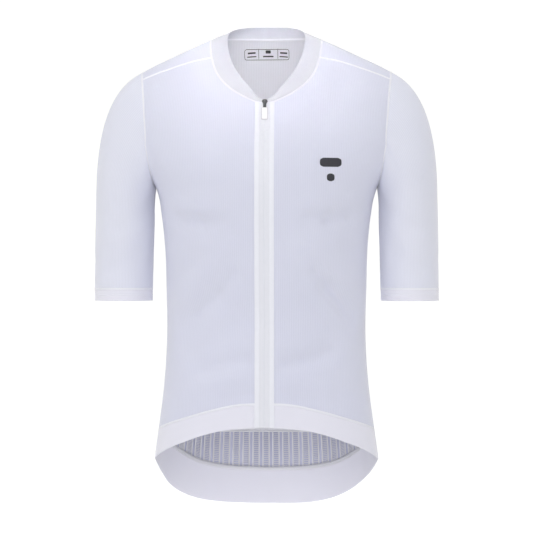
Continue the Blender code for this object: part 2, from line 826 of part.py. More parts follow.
def cap_guide(start, angle, share):
    """Point down the sleeve cap from an armhole point, at a share of the way to the ring."""
    swing = (1 + math.cos(angle)) / 2
    droop = math.radians(DROOP_SHOULDER + (DROOP_UNDERARM - DROOP_SHOULDER) * swing)
    end = ring_point(BICEPS_RING, angle)
    chord = (end - start).length
    leave = start + Vector((math.cos(droop), 0.0, -math.sin(droop))) * chord * GUIDE_START
    arrive = end + Vector((0.0, 0.0, 1.0)) * chord * GUIDE_END
    back = 1 - share
    return (
        start * back**3
        + leave * 3 * back**2 * share
        + arrive * 3 * back * share**2
        + end * share**3
    )


def sleeve_grid(is_right):
    """Outer points of a sleeve on the left side, from the armhole down to the cuff seam."""
    loop = armhole_loop(is_right)
    lengths = [0.0]
    for first, second in zip(loop, loop[1:] + loop[:1]):
        lengths.append(lengths[-1] + (second - first).length)
    angles = [2 * math.pi * length / lengths[-1] for length in lengths[:-1]]
    clear = Vector((SEAM_GAP, 0.0, 0.0))
    grid = {}
    for i in range(SLEEVE_CAP_ROWS):
        for j, (point, angle) in enumerate(zip(loop, angles)):
            grid[i, j] = cap_guide(point + clear, angle, i / SLEEVE_CAP_ROWS)
    tube_rings = [
        ring_between(BICEPS_RING, FOREARM_RING, 0.0),
        ring_between(BICEPS_RING, FOREARM_RING, 0.5),
        FOREARM_RING,
        ring_between(FOREARM_RING, CUFF_SEAM_RING, 0.5),
        CUFF_SEAM_RING._replace(z=CUFF_SEAM_RING.z + SEAM_GAP / 2),
    ]
    for i, ring in enumerate(tube_rings):
        for j, angle in enumerate(angles):
            grid[SLEEVE_CAP_ROWS + i, j] = ring_point(ring, angle)
    normals = grid_normals(grid, closed=True)
    last_row = grid_size(grid)[0]
    for i, j in grid:
        if 0 < i < last_row:
            grid[i, j] += normals[i, j] * fold_height(grid[i, j], SLEEVE_FOLD_LINES)
    return grid, normals, angles


def add_sleeves(collection):
    """Both sleeves and their cuffs."""
    cuff_top = CUFF_SEAM_RING._replace(z=CUFF_SEAM_RING.z - SEAM_GAP / 2)
    rings = [ring_between(cuff_top, CUFF_HEM_RING, i / CUFF_ROWS) for i in range(CUFF_ROWS + 1)]
    for side, is_right in (("left", False), ("right", True)):
        grid, normals, angles = sleeve_grid(is_right)
        cuff = {
            (i, j): ring_point(ring, angle)
            for i, ring in enumerate(rings)
            for j, angle in enumerate(angles)
        }
        cuff_normals = grid_normals(cuff, closed=True)
        for name, points, outward, thickness, finish in (
            ("sleeve", grid, normals, BODY_CLOTH, KNIT),
            ("cuff", cuff, cuff_normals, BAND_CLOTH, BAND),
        ):
            if is_right:
                points = mirrored_grid(points)
                outward = mirrored_grid(outward)
            cloth_wall(f"{name}_{side}", points, outward, thickness, finish, collection, closed=True)


def collar_seam():
    """Places of the neck seam on the left, from the zip slit round to the centre back."""
    over_tape = [form_place(FRONT, ZIP_SLIT, NECK_FRONT[0].z)]
    over_tape.append(form_place(FRONT, TAPE_EDGE, NECK_FRONT[1].z))
    tape = between(over_tape[0], over_tape[1], NECK_TAPE_COLUMNS)
    front = seam_points(NECK_FRONT[1:], NECK_FRONT_COLUMNS)
    side = seam_points(NECK_SIDE, NECK_SIDE_ROWS, from_back=True)
    nape = seam_points(NAPE, NAPE_COLUMNS)
    return tape[:-1] + front[:-1] + list(reversed(side))[:-1] + nape


def add_collar(collection):
    """The collar band, from one side of the zip round the neck to the other."""
    seam = [cloth_point(*place)[0] for place in collar_seam()]
    lengths = [0.0]
    for first, second in zip(seam, seam[1:]):
        lengths.append(lengths[-1] + (second - first).length)
    rim_rows = [Vector(row) for row in COLLAR_RIM]
    rim_lengths = [0.0]
    for first, second in zip(rim_rows, rim_rows[1:]):
        rim_lengths.append(rim_lengths[-1] + (second - first).length)
    rim_curves = [SmoothCurve(rim_lengths, [row[i] for row in rim_rows]) for i in range(3)]
    half = []
    for point, length in zip(seam, lengths):
        stop = rim_lengths[-1] * length / lengths[-1]
        half.append((point, Vector([curve(stop) for curve in rim_curves])))
    pairs = half + [tuple(mirrored_point(point) for point in pair) for pair in reversed(half[:-1])]
    flat = {
        (i, j): low.lerp(high, i / COLLAR_ROWS)
        for i in range(COLLAR_ROWS + 1)
        for j, (low, high) in enumerate(pairs)
    }
    normals = grid_normals(flat, closed=False)
    outer = {}
    for (i, j), point in flat.items():
        crown = COLLAR_CROWN * math.sin(math.pi * i / COLLAR_ROWS)
        outer[i, j] = point + normals[i, j] * crown
    normals = grid_normals(outer, closed=False)
    outer = open_seams(outer, normals)
    cloth_wall("collar", outer, normals, BAND_CLOTH, BAND, collection)


def add_zip_chain(tape, collection):
    """The closed coil of the zip, behind the tapes."""
    top_rise = form_place(FRONT, 0.0, CHAIN_TOP_Z)[1]
    rises = [place[1] for place in grid_column(tape, 0) if place[1] < top_rise] + [top_rise]
    behind = BAND_CLOTH + SEAM_GAP
    outer = {}
    normals = {}
    for i, rise in enumerate(rises):
        width = half_width(BASE_Z + min(rise, 0.0))
        spread = math.asin((CHAIN_HALF_WIDTH / width) ** (SQUARENESS / 2))
        for j, angle in enumerate((-spread, spread)):
            point, normals[i, j] = cloth_point(angle, rise)
            outer[i, j] = point - normals[i, j] * behind
    for j in range(2):
        outer[0, j] += Vector((0.0, 0.0, SEAM_GAP))
    cloth_wall("zip_chain", outer, normals, CHAIN_THICKNESS, COIL, collection)


def slider_frame():
    """Matrix of the slider's own frame: across, up along the zip, out from the cloth."""
    point, normal = cloth_point(*form_place(FRONT, 0.0, HINGE_Z))
    across = Vector((1.0, 0.0, 0.0))
    outward = Vector((0.0, normal.y, normal.z)).normalized()
    upward = outward.cross(across)
    frame = Matrix((across, upward, outward)).transposed().to_4x4()
    frame.translation = point * MM
    return frame


def slider_plate():
    """The slider's plate: a box that narrows downwards, with bevelled edges."""
    shape = bmesh.new()
    bmesh.ops.create_cube(shape, size=1.0)
    for vertex in shape.verts:
        width = PLATE_WIDTH_TOP if vertex.co.y > 0 else PLATE_WIDTH_BOTTOM
        vertex.co.x *= width * MM
        vertex.co.y = (PLATE_TOP if vertex.co.y > 0 else PLATE_BOTTOM) * MM
        vertex.co.z = (PLATE_LIFT + PLATE_THICKNESS * (vertex.co.z + 0.5)) * MM
    mesh_data = bpy.data.meshes.new("zip_slider")
    shape.to_mesh(mesh_data)
    shape.free()
    plate = bpy.data.objects.new("zip_slider", mesh_data)
    bevel = plate.modifiers.new("rounded_edges", "BEVEL")
    bevel.width = PLATE_BEVEL * MM
    bevel.segments = PLATE_BEVEL_SEGMENTS
    return plate


def bridge_wire():
    """The bridge over the hinge bar: an arch of wire whose feet sink into the plate."""
    curve = bpy.data.curves.new("zip_bridge", "CURVE")
    curve.dimensions = "3D"
    curve.bevel_depth = BRIDGE_WIRE * MM
    curve.bevel_resolution = BRIDGE_WIRE_SEGMENTS
    curve.use_fill_caps = True
    foot = PLATE_LIFT + BRIDGE_SINK
    spline = curve.splines.new("POLY")
    spline.points.add(BRIDGE_STEPS)
    for i, point in enumerate(spline.points):
        turn = math.pi * i / BRIDGE_STEPS
        up = BRIDGE_SPAN * math.cos(turn)
        out = foot + (BRIDGE_OUT - foot) * math.sin(turn) ** BRIDGE_ROUNDNESS
        point.co = (0.0, up * MM, out * MM, 1.0)
    return bpy.data.objects.new("zip_bridge", curve)


def add_slider(frame, collection, cutters):
    """The slider: its plate joined with the bridge."""
    plate = slider_plate()
    wire = bridge_wire()
    collection.objects.link(plate)
    collection.objects.link(wire)
    bpy.context.view_layer.update()
    evaluated = wire.evaluated_get(bpy.context.evaluated_depsgraph_get())
    solid_data = bpy.data.meshes.new_from_object(evaluated)
    bpy.data.objects.remove(wire)
    shape = bmesh.new()
    shape.from_mesh(solid_data)
    bmesh.ops.remove_doubles(shape, verts=shape.verts, dist=WELD_DISTANCE * MM)
    bmesh.ops.recalc_face_normals(shape, faces=shape.faces)
    shape.to_mesh(solid_data)
    shape.free()
    bridge = bpy.data.objects.new("zip_bridge_form", solid_data)
    bridge.display_type = "WIRE"
    bridge.hide_render = True
    cutters.objects.link(bridge)
    plate.matrix_world = frame
    bridge.matrix_world = frame
    union = plate.modifiers.new("bridge", "BOOLEAN")
    union.operation = "UNION"
    union.object = bridge
    plate.data.materials.append(finish_material(METAL))


def add_pull(frame, collection):
    """The pull tab on its hinge bar, hanging down along the zip."""
    curve = bpy.data.curves.new("zip_pull", "CURVE")
    curve.dimensions = "2D"
    curve.fill_mode = "BOTH"
    curve.extrude = PULL_THICKNESS / 2 * MM
    outline = [
        (-PULL_HEAD_HALF, PULL_BAR),
        (PULL_HEAD_HALF, PULL_BAR),
        (PULL_HEAD_HALF, -PULL_WINDOW),
        (PULL_TAB_HALF - PULL_CORNER, PULL_TAB_TOP),
        (PULL_TAB_HALF, PULL_TAB_TOP - PULL_CORNER),
        (PULL_TAB_HALF, PULL_TAB_BOTTOM + PULL_CORNER),
        (PULL_TAB_HALF - PULL_CORNER, PULL_TAB_BOTTOM),
        (PULL_CORNER - PULL_TAB_HALF, PULL_TAB_BOTTOM),
        (-PULL_TAB_HALF, PULL_TAB_BOTTOM + PULL_CORNER),
        (-PULL_TAB_HALF, PULL_TAB_TOP - PULL_CORNER),
        (PULL_CORNER - PULL_TAB_HALF, PULL_TAB_TOP),
        (-PULL_HEAD_HALF, -PULL_WINDOW),
    ]
    window = [
        (-PULL_WINDOW_HALF, -PULL_BAR),
        (PULL_WINDOW_HALF, -PULL_BAR),
        (PULL_WINDOW_HALF, -PULL_WINDOW),
        (-PULL_WINDOW_HALF, -PULL_WINDOW),
    ]
    for points in (outline, window):
        spline = curve.splines.new("POLY")
        spline.points.add(len(points) - 1)
        spline.use_cyclic_u = True
        for target, (x, y) in zip(spline.points, points):
            target.co = (x * MM, y * MM, 0.0, 1.0)
    curve.materials.append(finish_material(PULL))
    pull = bpy.data.objects.new("zip_pull", curve)
    pull.matrix_world = frame @ Matrix.Translation((0.0, 0.0, HINGE_OUT * MM))
    collection.objects.link(pull)


def new_collection(name):
    """An empty collection in the scene."""
    collection = bpy.data.collections.new(name)
    bpy.context.scene.collection.children.link(collection)
    return collection


def main():
    for item in list(bpy.data.objects):
        bpy.data.objects.remove(item)
    collection = new_collection(COLLECTION_NAME)
    cutters = new_collection("joining_forms")

    front = front_places()
    band = front_band_places(front)
    tape = tape_places(front, band)
    add_panel_pair("front", front, BODY_CLOTH, KNIT, collection)
    add_panel_pair("hem_front", band, BAND_CLOTH, BAND, collection)
    add_panel_pair("zip_tape", tape, BAND_CLOTH, TAPE, collection)

    back = back_places()
    mesh_strip = strip_places(BACK_BAND_SEAM, grid_row(back, 0), MESH_ROWS)
    back_band = strip_places(BACK_HEM, grid_row(mesh_strip, 0), BAND_ROWS)
    add_panel("back", back, BODY_CLOTH, KNIT, collection)
    add_panel("back_mesh", mesh_strip, BODY_CLOTH, MESH_KNIT, collection)
    add_panel("hem_back", back_band, BAND_CLOTH, BAND, collection)
    add_pocket(back, mesh_strip, collection)

    add_sleeves(collection)
    add_collar(collection)
    add_zip_chain(tape, collection)
    frame = slider_frame()
    add_slider(frame, collection, cutters)
    add_pull(frame, collection)


main()
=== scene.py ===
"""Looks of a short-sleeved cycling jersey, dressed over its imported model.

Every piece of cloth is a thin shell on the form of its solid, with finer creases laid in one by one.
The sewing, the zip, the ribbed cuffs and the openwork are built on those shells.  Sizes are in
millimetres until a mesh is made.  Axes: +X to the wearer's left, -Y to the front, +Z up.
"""

from __future__ import annotations

import logging
import math
from collections.abc import Callable, Sequence
from dataclasses import dataclass
from enum import Enum
from functools import cached_property
from typing import NamedTuple

import bpy
import numpy as np
from mathutils import Matrix, Vector

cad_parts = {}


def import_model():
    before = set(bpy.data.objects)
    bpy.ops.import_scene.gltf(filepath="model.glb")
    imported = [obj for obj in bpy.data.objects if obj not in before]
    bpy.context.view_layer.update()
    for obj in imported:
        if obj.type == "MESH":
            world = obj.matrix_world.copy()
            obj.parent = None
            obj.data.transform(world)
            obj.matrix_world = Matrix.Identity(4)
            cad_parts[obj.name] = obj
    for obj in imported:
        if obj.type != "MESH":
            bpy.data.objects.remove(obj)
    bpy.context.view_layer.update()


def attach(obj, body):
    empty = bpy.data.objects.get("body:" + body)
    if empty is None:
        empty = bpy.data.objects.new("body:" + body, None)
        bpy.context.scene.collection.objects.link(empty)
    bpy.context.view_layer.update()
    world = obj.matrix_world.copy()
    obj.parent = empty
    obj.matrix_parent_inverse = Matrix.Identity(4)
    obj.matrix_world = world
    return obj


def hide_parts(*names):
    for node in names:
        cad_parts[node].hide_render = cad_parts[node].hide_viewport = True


Array = np.ndarray
Edge = Callable[[Array], Array]
LOG = logging.getLogger("cycling_jersey")
MM = 0.001
GARMENT = "garment"
PULL_BODY = "pull"
SEAM_GAP = 0.3
BODY_CLOTH = 1.0
BAND_CLOTH = 1.2
SHARP_EDGE = math.radians(40.0)
TIP_REACH = 0.6
MIRRORED = np.array([-1.0, 1.0, 1.0])
MIRRORED_PLACE = np.array([-1.0, 1.0])


class Side(Enum):
    """The wearer's side that a piece is on."""

    LEFT = "left"
    RIGHT = "right"


class Face(Enum):
    """Where on the torso form a point is given by its width and height."""

    FRONT = "front"
    BACK = "back"
    RIDGE = "ridge"


class Section(NamedTuple):
    """A level section of the torso form."""

    z: float
    half_width: float
    front_depth: float
    back_depth: float


class Ridge(NamedTuple):
    """A point of the line over the shoulders."""

    x: float
    z: float


class Line(NamedTuple):
    """A seam's height at an angle round the form, from 0 at the front to 180 at the back."""

    angle: float
    z: float


class SeamPoint(NamedTuple):
    """A point of a seam on the wearer's left."""

    face: Face
    x: float
    z: float


class RimPoint(NamedTuple):
    """A point of the collar's rim on the wearer's left."""

    x: float
    y: float
    z: float


class Fold(NamedTuple):
    """A large straight fold, a trough where its depth is negative."""

    face: Face
    x_start: float
    z_start: float
    x_end: float
    z_end: float
    width: float
    depth: float


class Crease(NamedTuple):
    """A finer fold that bends through a middle point and fades out at both ends."""

    face: Face
    x_start: float
    z_start: float
    x_middle: float
    z_middle: float
    x_end: float
    z_end: float
    width: float
    depth: float


class Ring(NamedTuple):
    """A level ring of a sleeve."""

    z: float
    x_inner: float
    x_outer: float
    half_depth: float
    y_centre: float


class RoundFold(NamedTuple):
    """A fold of a sleeve, by angle round it from the underarm over the back."""

    angle_start: float
    z_start: float
    angle_end: float
    z_end: float
    width: float
    depth: float


class Profile(NamedTuple):
    """A step of a raised profile: a distance across it and the lift there."""

    across: float
    lift: float


class Cut(NamedTuple):
    """The rectangle that a piece is cut from, and the share of it that the cut fills."""

    width: float
    length: float
    fill: float = 1.0


def table(kind: type, rows: Sequence[tuple[float, ...]]) -> tuple:
    """A table's rows as named tuples of one kind."""
    return tuple(kind(*row) for row in rows)


def on_face(kind: type, face: Face, rows: Sequence[tuple[float, ...]]) -> tuple:
    """A table's rows as named tuples that start with the face that all of them are on."""
    return tuple(kind(face, *row) for row in rows)


FRONT_BAND_SEAM = table(Line, (
    (0, -521.6), (12, -524), (24, -530.5), (47, -545), (70, -557), (90, -565),
))
FRONT_HEM = table(Line, ((0, -555.4), (20, -561), (47.6, -581), (70, -597.5), (90, -610)))
BACK_BAND_SEAM = table(Line, (
    (90, -565), (108, -583), (126, -602), (145, -623), (162, -632.5), (180, -635.5),
))
MESH_TOP_SEAM = table(Line, ((90, -553), (115, -566), (140, -574), (160, -576.5), (180, -577)))
BACK_HEM = table(Line, (
    (90, -610), (98, -615.5), (106, -624.5), (116, -638.5), (124, -650), (134, -664),
    (145, -676), (160, -685.5), (180, -688), (203, -685), (217, -679), (229, -669),
    (238, -658.5), (244, -649.5), (250, -637.5), (256, -627.5), (262, -619), (270, -610),
))
SIDE_SEAM = table(Line, (
    (89.5, -610), (87.5, -560), (84.5, -500), (81.5, -400),
    (81, -300), (84, -250), (87, -225), (90, -208.5),
))
UNDERARM_Z = -208.5
ARMHOLE_FRONT = on_face(SeamPoint, Face.FRONT, (
    (163, UNDERARM_Z), (167.8, -190), (172, -165), (174.5, -140), (177, -106), (179.6, -72), (182, -52),
))
ARMHOLE_BACK = (
    *on_face(SeamPoint, Face.BACK, (
        (163, UNDERARM_Z), (167, -192), (172, -168), (175.5, -140), (178.5, -106), (181, -72),
    )),
    SeamPoint(Face.RIDGE, 183.5, 0),
    ARMHOLE_FRONT[-1],
)
SHOULDER_SEAM = on_face(SeamPoint, Face.FRONT, (
    (78.5, -22), (104, -26.5), (129, -33.5), (155, -42), (182, -52),
))
NECK_FRONT = on_face(SeamPoint, Face.FRONT, (
    (0, -91), (13.4, -88.6), (30, -81), (46, -71.5), (60, -59.5), (71, -44), (78.5, -22),
))
NAPE = on_face(SeamPoint, Face.BACK, ((76, 9.4), (62, 11.6), (44, 12.8), (22, 13.4), (0, 13.5)))
NECK_SIDE = (
    NAPE[0],
    SeamPoint(Face.RIDGE, 80.2, 0),
    SeamPoint(Face.FRONT, 80.8, -3),
    NECK_FRONT[-1],
)


def column(rows: Sequence[NamedTuple], *names: str) -> Array:
    """A named column of a table, or several of them side by side."""
    values = np.array([[getattr(row, name) for name in names] for row in rows], float)
    return values[:, 0] if len(names) == 1 else values


def signed_power(values: Array, power: float) -> Array:
    """A power that keeps the sign of its base."""
    return np.copysign(np.abs(values) ** power, values)


def unit(vectors: Array) -> Array:
    """The same directions with length 1."""
    lengths = np.linalg.norm(vectors, axis=-1, keepdims=True)
    return vectors / np.maximum(lengths, 1e-9)


def path_lengths(points: Array) -> Array:
    """How far along a path each of its points is."""
    steps = np.linalg.norm(np.diff(points, axis=0), axis=-1)
    return np.concatenate([[0.0], np.cumsum(steps)])


def even(count: int) -> Array:
    """Even shares from 0 to 1 in a number of steps."""
    return np.linspace(0.0, 1.0, count + 1)


class SmoothCurve:
    """A smooth curve through the rows of a table, read at any places along it."""

    def __init__(self, keys: Sequence[float], values: Sequence[float] | Array) -> None:
        """Fits the curve.

        Args:
            keys: Where each row is, rising.
            values: The row's number, or its row of numbers.
        """
        self.single = np.ndim(values) == 1
        self.keys = np.asarray(keys, float)
        self.values = np.asarray(values, float).reshape(len(self.keys), -1)
        steps = np.diff(self.keys)[:, None]
        rises = np.diff(self.values, axis=0) / steps
        inner = (rises[:-1] * steps[1:] + rises[1:] * steps[:-1]) / (steps[:-1] + steps[1:])
        self.slopes = np.vstack([rises[:1], inner, rises[-1:]])

    def __call__(self, places: float | Array) -> Array:
        """Reads the curve.

        Args:
            places: Places along the keys; those past an end are read at that end.

        Returns:
            The curve's number or row of numbers at each place.
        """
        place = np.clip(np.asarray(places, float), self.keys[0], self.keys[-1])
        i = np.clip(np.searchsorted(self.keys, place, side="right") - 1, 0, len(self.keys) - 2)
        step = (self.keys[i + 1] - self.keys[i])[..., None]
        t = (place - self.keys[i])[..., None] / step
        found = (1 + 2 * t) * (1 - t) ** 2 * self.values[i] + t * t * (3 - 2 * t) * self.values[i + 1]
        lean = t * (1 - t) ** 2 * self.slopes[i] - t * t * (1 - t) * self.slopes[i + 1]
        found = found + step * lean
        return found[..., 0] if self.single else found


def curve(rows: Sequence[NamedTuple], key: str, value: str) -> SmoothCurve:
    """The smooth curve of one column of a table over another."""
    return SmoothCurve(column(rows, key), column(rows, value))


def from_leg(points: Array, start: Array, end: Array) -> tuple[Array, Array]:
    """How far points are from a straight leg, and the share of the leg that each is beside."""
    leg = end - start
    share = np.clip(((points - start) @ leg) / (leg @ leg), 0.0, 1.0)
    return np.linalg.norm(points - start - share[..., None] * leg, axis=-1), share


def bent_path(start: Array, middle: Array, end: Array, steps: int) -> Array:
    """Points of a line that bends from one point to another towards a middle one."""
    share = even(steps)[:, None]
    return start * (1 - share) ** 2 + middle * 2 * share * (1 - share) + end * share**2


def fold_height(points: Array, start: Array, end: Array, width: float, depth: float) -> Array:
    """How far a straight fold moves each point out; at its width it has a third of its depth."""
    distance, _ = from_leg(points, start, end)
    return depth * np.exp(-((distance / width) ** 2))


def crease_height(points: Array, corners: Sequence[Array], width: float, depth: float) -> Array:
    """How far a bent crease moves each point out; it fades towards both of its ends.

    Args:
        points: Points of the bare form.
        corners: The crease's first, middle and last point.
        width: Half of the crease's width.
        depth: Its height, or its depth where it is negative.

    Returns:
        A height for each point.
    """
    steps = 8
    path = bent_path(*corners, steps)
    nearest = np.full(points.shape[:-1], np.inf)
    along = np.zeros(points.shape[:-1])
    for i, (first, second) in enumerate(zip(path, path[1:])):
        distance, share = from_leg(points, first, second)
        along = np.where(distance < nearest, (i + share) / steps, along)
        nearest = np.minimum(nearest, distance)
    fade = np.sin(np.pi * along) ** 0.7
    return depth * fade * np.exp(-((nearest / (width * (0.6 + 0.4 * fade))) ** 2))


@dataclass
class Cloth:
    """A grid of cloth by row and column.

    Attributes:
        points: Points of the outer face; those that aren't part of the piece are not numbers.
        normals: Outward directions at the points.
        weave: Places in the knit, across and along its ribs; a closed cloth has one column more.
        closed: Whether the last column is joined to the first.
    """

    points: Array
    normals: Array
    weave: Array
    closed: bool = False

    def moved(self, lifts: float | Array) -> Cloth:
        """The same cloth moved out by a height, or by one for each point."""
        lift = np.broadcast_to(np.asarray(lifts, float), self.points.shape[:2])
        return Cloth(self.points + self.normals * lift[..., None], self.normals, self.weave, self.closed)

    def mirrored(self) -> Cloth:
        """The same cloth on the other side of the body, columns reversed."""
        points, normals = self.points[:, ::-1] * MIRRORED, self.normals[:, ::-1] * MIRRORED
        return Cloth(points, normals, self.weave[:, ::-1] * MIRRORED_PLACE, self.closed)


def grid_normals(points: Array, closed: bool) -> Array:
    """Outward directions of a full grid of points from its neighbours.

    Args:
        points: The grid, by row and column.
        closed: Whether the last column is joined to the first.

    Returns:
        A direction for each point.
    """
    if closed:
        across = np.roll(points, -1, axis=1) - np.roll(points, 1, axis=1)
    else:
        across = np.gradient(points, axis=1)
    return unit(np.cross(across, np.gradient(points, axis=0)))


@dataclass(frozen=True)
class TorsoForm:
    """The form that the torso's cloth lies on.

    Up to the chest it is a stack of rounded sections; above, its columns turn over the
    shoulders.  A place on it is an angle round it and a rise from the chest line.
    """

    squareness: float = 2.3
    base_z: float = -150.0
    shoulder_scale: float = 112.0
    sections: tuple[Section, ...] = table(Section, (
        (-700, 164.5, 100, 119), (-610, 164.3, 100, 117), (-556, 157.1, 102, 110),
        (-509, 151.2, 104, 102), (-461, 147.3, 105, 96), (-414, 145.8, 106, 92), (-361, 147, 109, 95),
        (-302, 148.7, 113, 103), (-273, 151, 115, 108), (-243, 154.5, 117.5, 113),
        (-228, 156.7, 118, 116), (-208.5, 163, 118, 119), (-190, 174, 117, 120.5),
        (-165, 186, 112.5, 121), (-150, 190.5, 108, 121), (-100, 200, 87, 117), (-50, 205, 78, 112),
        (0, 207, 75, 110), (40, 207, 75, 110),
    ))
    ridge: tuple[Ridge, ...] = table(Ridge, (
        (0, 40), (20, 37), (40, 29.5), (60, 18.6), (80, 8.8), (100, 0), (140, -18.4), (172, -33.6),
        (184, -40.2), (200, -50),
    ))
    folds: tuple[Fold, ...] = (
        *on_face(Fold, Face.FRONT, (
            (-120, -238, -66, -246, 17, 3.4), (118, -233, 66, -241, 16, 2.8),
            (-120, -259, -99, -264, 14.5, -6.2), (-88, -264, -64, -259, 14.5, -5.2),
            (120, -257, 98, -260, 13.5, -5.6), (87, -260, 66, -256, 13.5, -4.2),
            (-108, -286, -50, -298, 12, 1.8), (102, -284, 50, -296, 12, 1.6),
            (-112, -410, -72, -372, 20, -5.6), (-98, -396, -48, -344, 16, -5.2),
            (-100, -446, -34, -400, 30, -7), (124, -394, 90, -356, 15, -6),
            (114, -384, 74, -334, 12, -4), (100, -420, 50, -378, 24, -3.6),
            (-118, -366, -64, -312, 18, 3.2), (122, -350, 66, -306, 18, 3.2),
            (-90, -476, -30, -460, 15, -5.4), (92, -450, 34, -466, 13, -5),
            (-90, -490, -36, -482, 12, 2.4), (88, -498, 30, -488, 12, 2.4),
            (-62, -518, -24, -509, 9, -1.6), (60, -521, 24, -512, 9, -1.4),
        )),
        *on_face(Fold, Face.BACK, (
            (-118, -392, -40, -352, 26, -3), (122, -400, 34, -346, 28, -2.7),
            (-100, -330, -30, -312, 22, 2), (104, -326, 26, -306, 22, 1.7),
            (-110, -242, -66, -280, 24, -1.7), (106, -236, 70, -284, 24, -1.5),
            (4, -120, -3, -250, 24, -2.6),
        )),
    )
    creases: tuple[Crease, ...] = (
        *on_face(Crease, Face.FRONT, (
            (-138, -205, -112, -226, -92, -262, 7, -1.1), (-144, -226, -120, -244, -104, -270, 6, 0.8),
            (140, -202, 108, -222, 84, -262, 7.5, -1.2), (145, -228, 122, -240, 102, -276, 6, 0.7),
            (-139, -352, -108, -336, -84, -306, 8, -0.9), (138, -360, 112, -340, 78, -310, 8, -1),
            (-136, -428, -104, -414, -70, -376, 9, 0.9), (136, -436, 100, -412, 68, -380, 9, 0.8),
            (-134, -498, -100, -496, -58, -470, 10, -0.8), (132, -508, 96, -500, 60, -480, 9, -0.9),
            (-150, -150, -138, -176, -118, -192, 8, -0.8), (152, -146, 136, -172, 120, -196, 8, -0.8),
            (-160, -96, -140, -108, -118, -110, 9, -0.7), (160, -92, 138, -106, 114, -106, 9, -0.6),
            (-26, -300, -34, -350, -28, -400, 9, 0.6), (26, -420, 36, -462, 30, -506, 9, 0.5),
        )),
        *on_face(Crease, Face.BACK, (
            (-136, -210, -108, -230, -88, -268, 8, -1.2), (138, -206, 112, -232, 82, -262, 8, -1.1),
            (-142, -236, -118, -250, -98, -288, 7, 0.8), (143, -238, 118, -258, 100, -290, 7, 0.8),
            (-136, -438, -92, -424, -48, -392, 10, 1.2), (136, -446, 90, -420, 44, -388, 10, 1.1),
            (-132, -358, -84, -360, -36, -332, 9, -1.1), (130, -362, 88, -354, 30, -328, 9, -1),
            (-30, -130, -18, -180, -26, -232, 10, 0.9), (34, -124, 22, -180, 28, -240, 10, 0.9),
            (-140, -80, -104, -96, -64, -92, 12, -0.9), (140, -84, 100, -98, 60, -90, 12, -0.8),
        )),
    )

    @cached_property
    def half_width(self) -> SmoothCurve:
        """Half of the form's width at a height."""
        return curve(self.sections, "z", "half_width")

    @cached_property
    def front_depth(self) -> SmoothCurve:
        """How far the form comes to the front at a height."""
        return curve(self.sections, "z", "front_depth")

    @cached_property
    def back_depth(self) -> SmoothCurve:
        """How far the form goes to the back at a height."""
        return curve(self.sections, "z", "back_depth")

    @cached_property
    def ridge_height(self) -> SmoothCurve:
        """The height of the line over the shoulders at a distance from the middle."""
        return curve(self.ridge, "x", "z")

    @cached_property
    def side_angle(self) -> SmoothCurve:
        """The side seam's angle round the form at a height."""
        return curve(SIDE_SEAM, "z", "angle")

    def bare(self, places: Array) -> Array:
        """Points of the form.

        Args:
            places: Angle and rise of each.

        Returns:
            The points.
        """
        angle, rise = places[..., 0], places[..., 1]
        across = signed_power(np.sin(angle), 2 / self.squareness)
        along = signed_power(np.cos(angle), 2 / self.squareness)
        level = self.base_z + np.minimum(rise, 0.0)
        depth = np.where(along > 0, self.front_depth(level), self.back_depth(level))
        low = np.stack([self.half_width(level) * across, -depth * along, level], -1)
        turn = np.maximum(rise, 0.0) / self.shoulder_scale
        x = self.half_width(self.base_z) * across
        z = self.base_z + (self.ridge_height(np.abs(x)) - self.base_z) * np.sin(turn)
        reach = np.cos(turn) * np.where(along > 0, -1.0, 1.0)
        depth = np.where(reach < 0, self.front_depth(z), self.back_depth(z))
        share = np.minimum(1.0, np.abs(x) / self.half_width(z))
        narrowing = (1 - share**self.squareness) ** (1 / self.squareness)
        high = np.stack([x, depth * narrowing * reach, z], -1)
        return np.where((rise <= 0)[..., None], low, high)

    def normal(self, places: Array) -> Array:
        """Outward directions of the form at places on it."""
        turn = np.array([0.01, 0.0])
        lift = np.array([0.0, 1.0])
        across = self.bare(places + turn) - self.bare(places - turn)
        upward = self.bare(places + lift) - self.bare(places - lift)
        return unit(np.cross(across, upward))

    def place(self, face: Face, x: float, z: float, from_back: bool = False) -> Array:
        """The place of a point given by its width and height.

        Args:
            face: Whether the point is on the front, the back or the ridge.
            x: Its width.
            z: Its height, which a point on the ridge doesn't need.
            from_back: Whether a point on the front is reached from the back, over the ridge.

        Returns:
            Its angle and rise.
        """
        if face is Face.RIDGE:
            z = float(self.ridge_height(abs(x)))
        if z <= self.base_z:
            width = self.half_width(z)
            rise = z - self.base_z
        else:
            width = self.half_width(self.base_z)
            share = (z - self.base_z) / (self.ridge_height(abs(x)) - self.base_z)
            rise = self.shoulder_scale * math.asin(min(1.0, share))
        angle = math.asin(min(1.0, abs(x) / width) ** (self.squareness / 2))
        if face is Face.BACK or from_back:
            angle = math.pi - angle
        if face is Face.FRONT and from_back:
            rise = math.pi * self.shoulder_scale - rise
        return np.array([math.copysign(angle, x), rise])

    def at(self, face: Face, x: float, z: float) -> Array:
        """The point of the bare form at a width and height on the front or the back."""
        return self.bare(self.place(face, x, z))

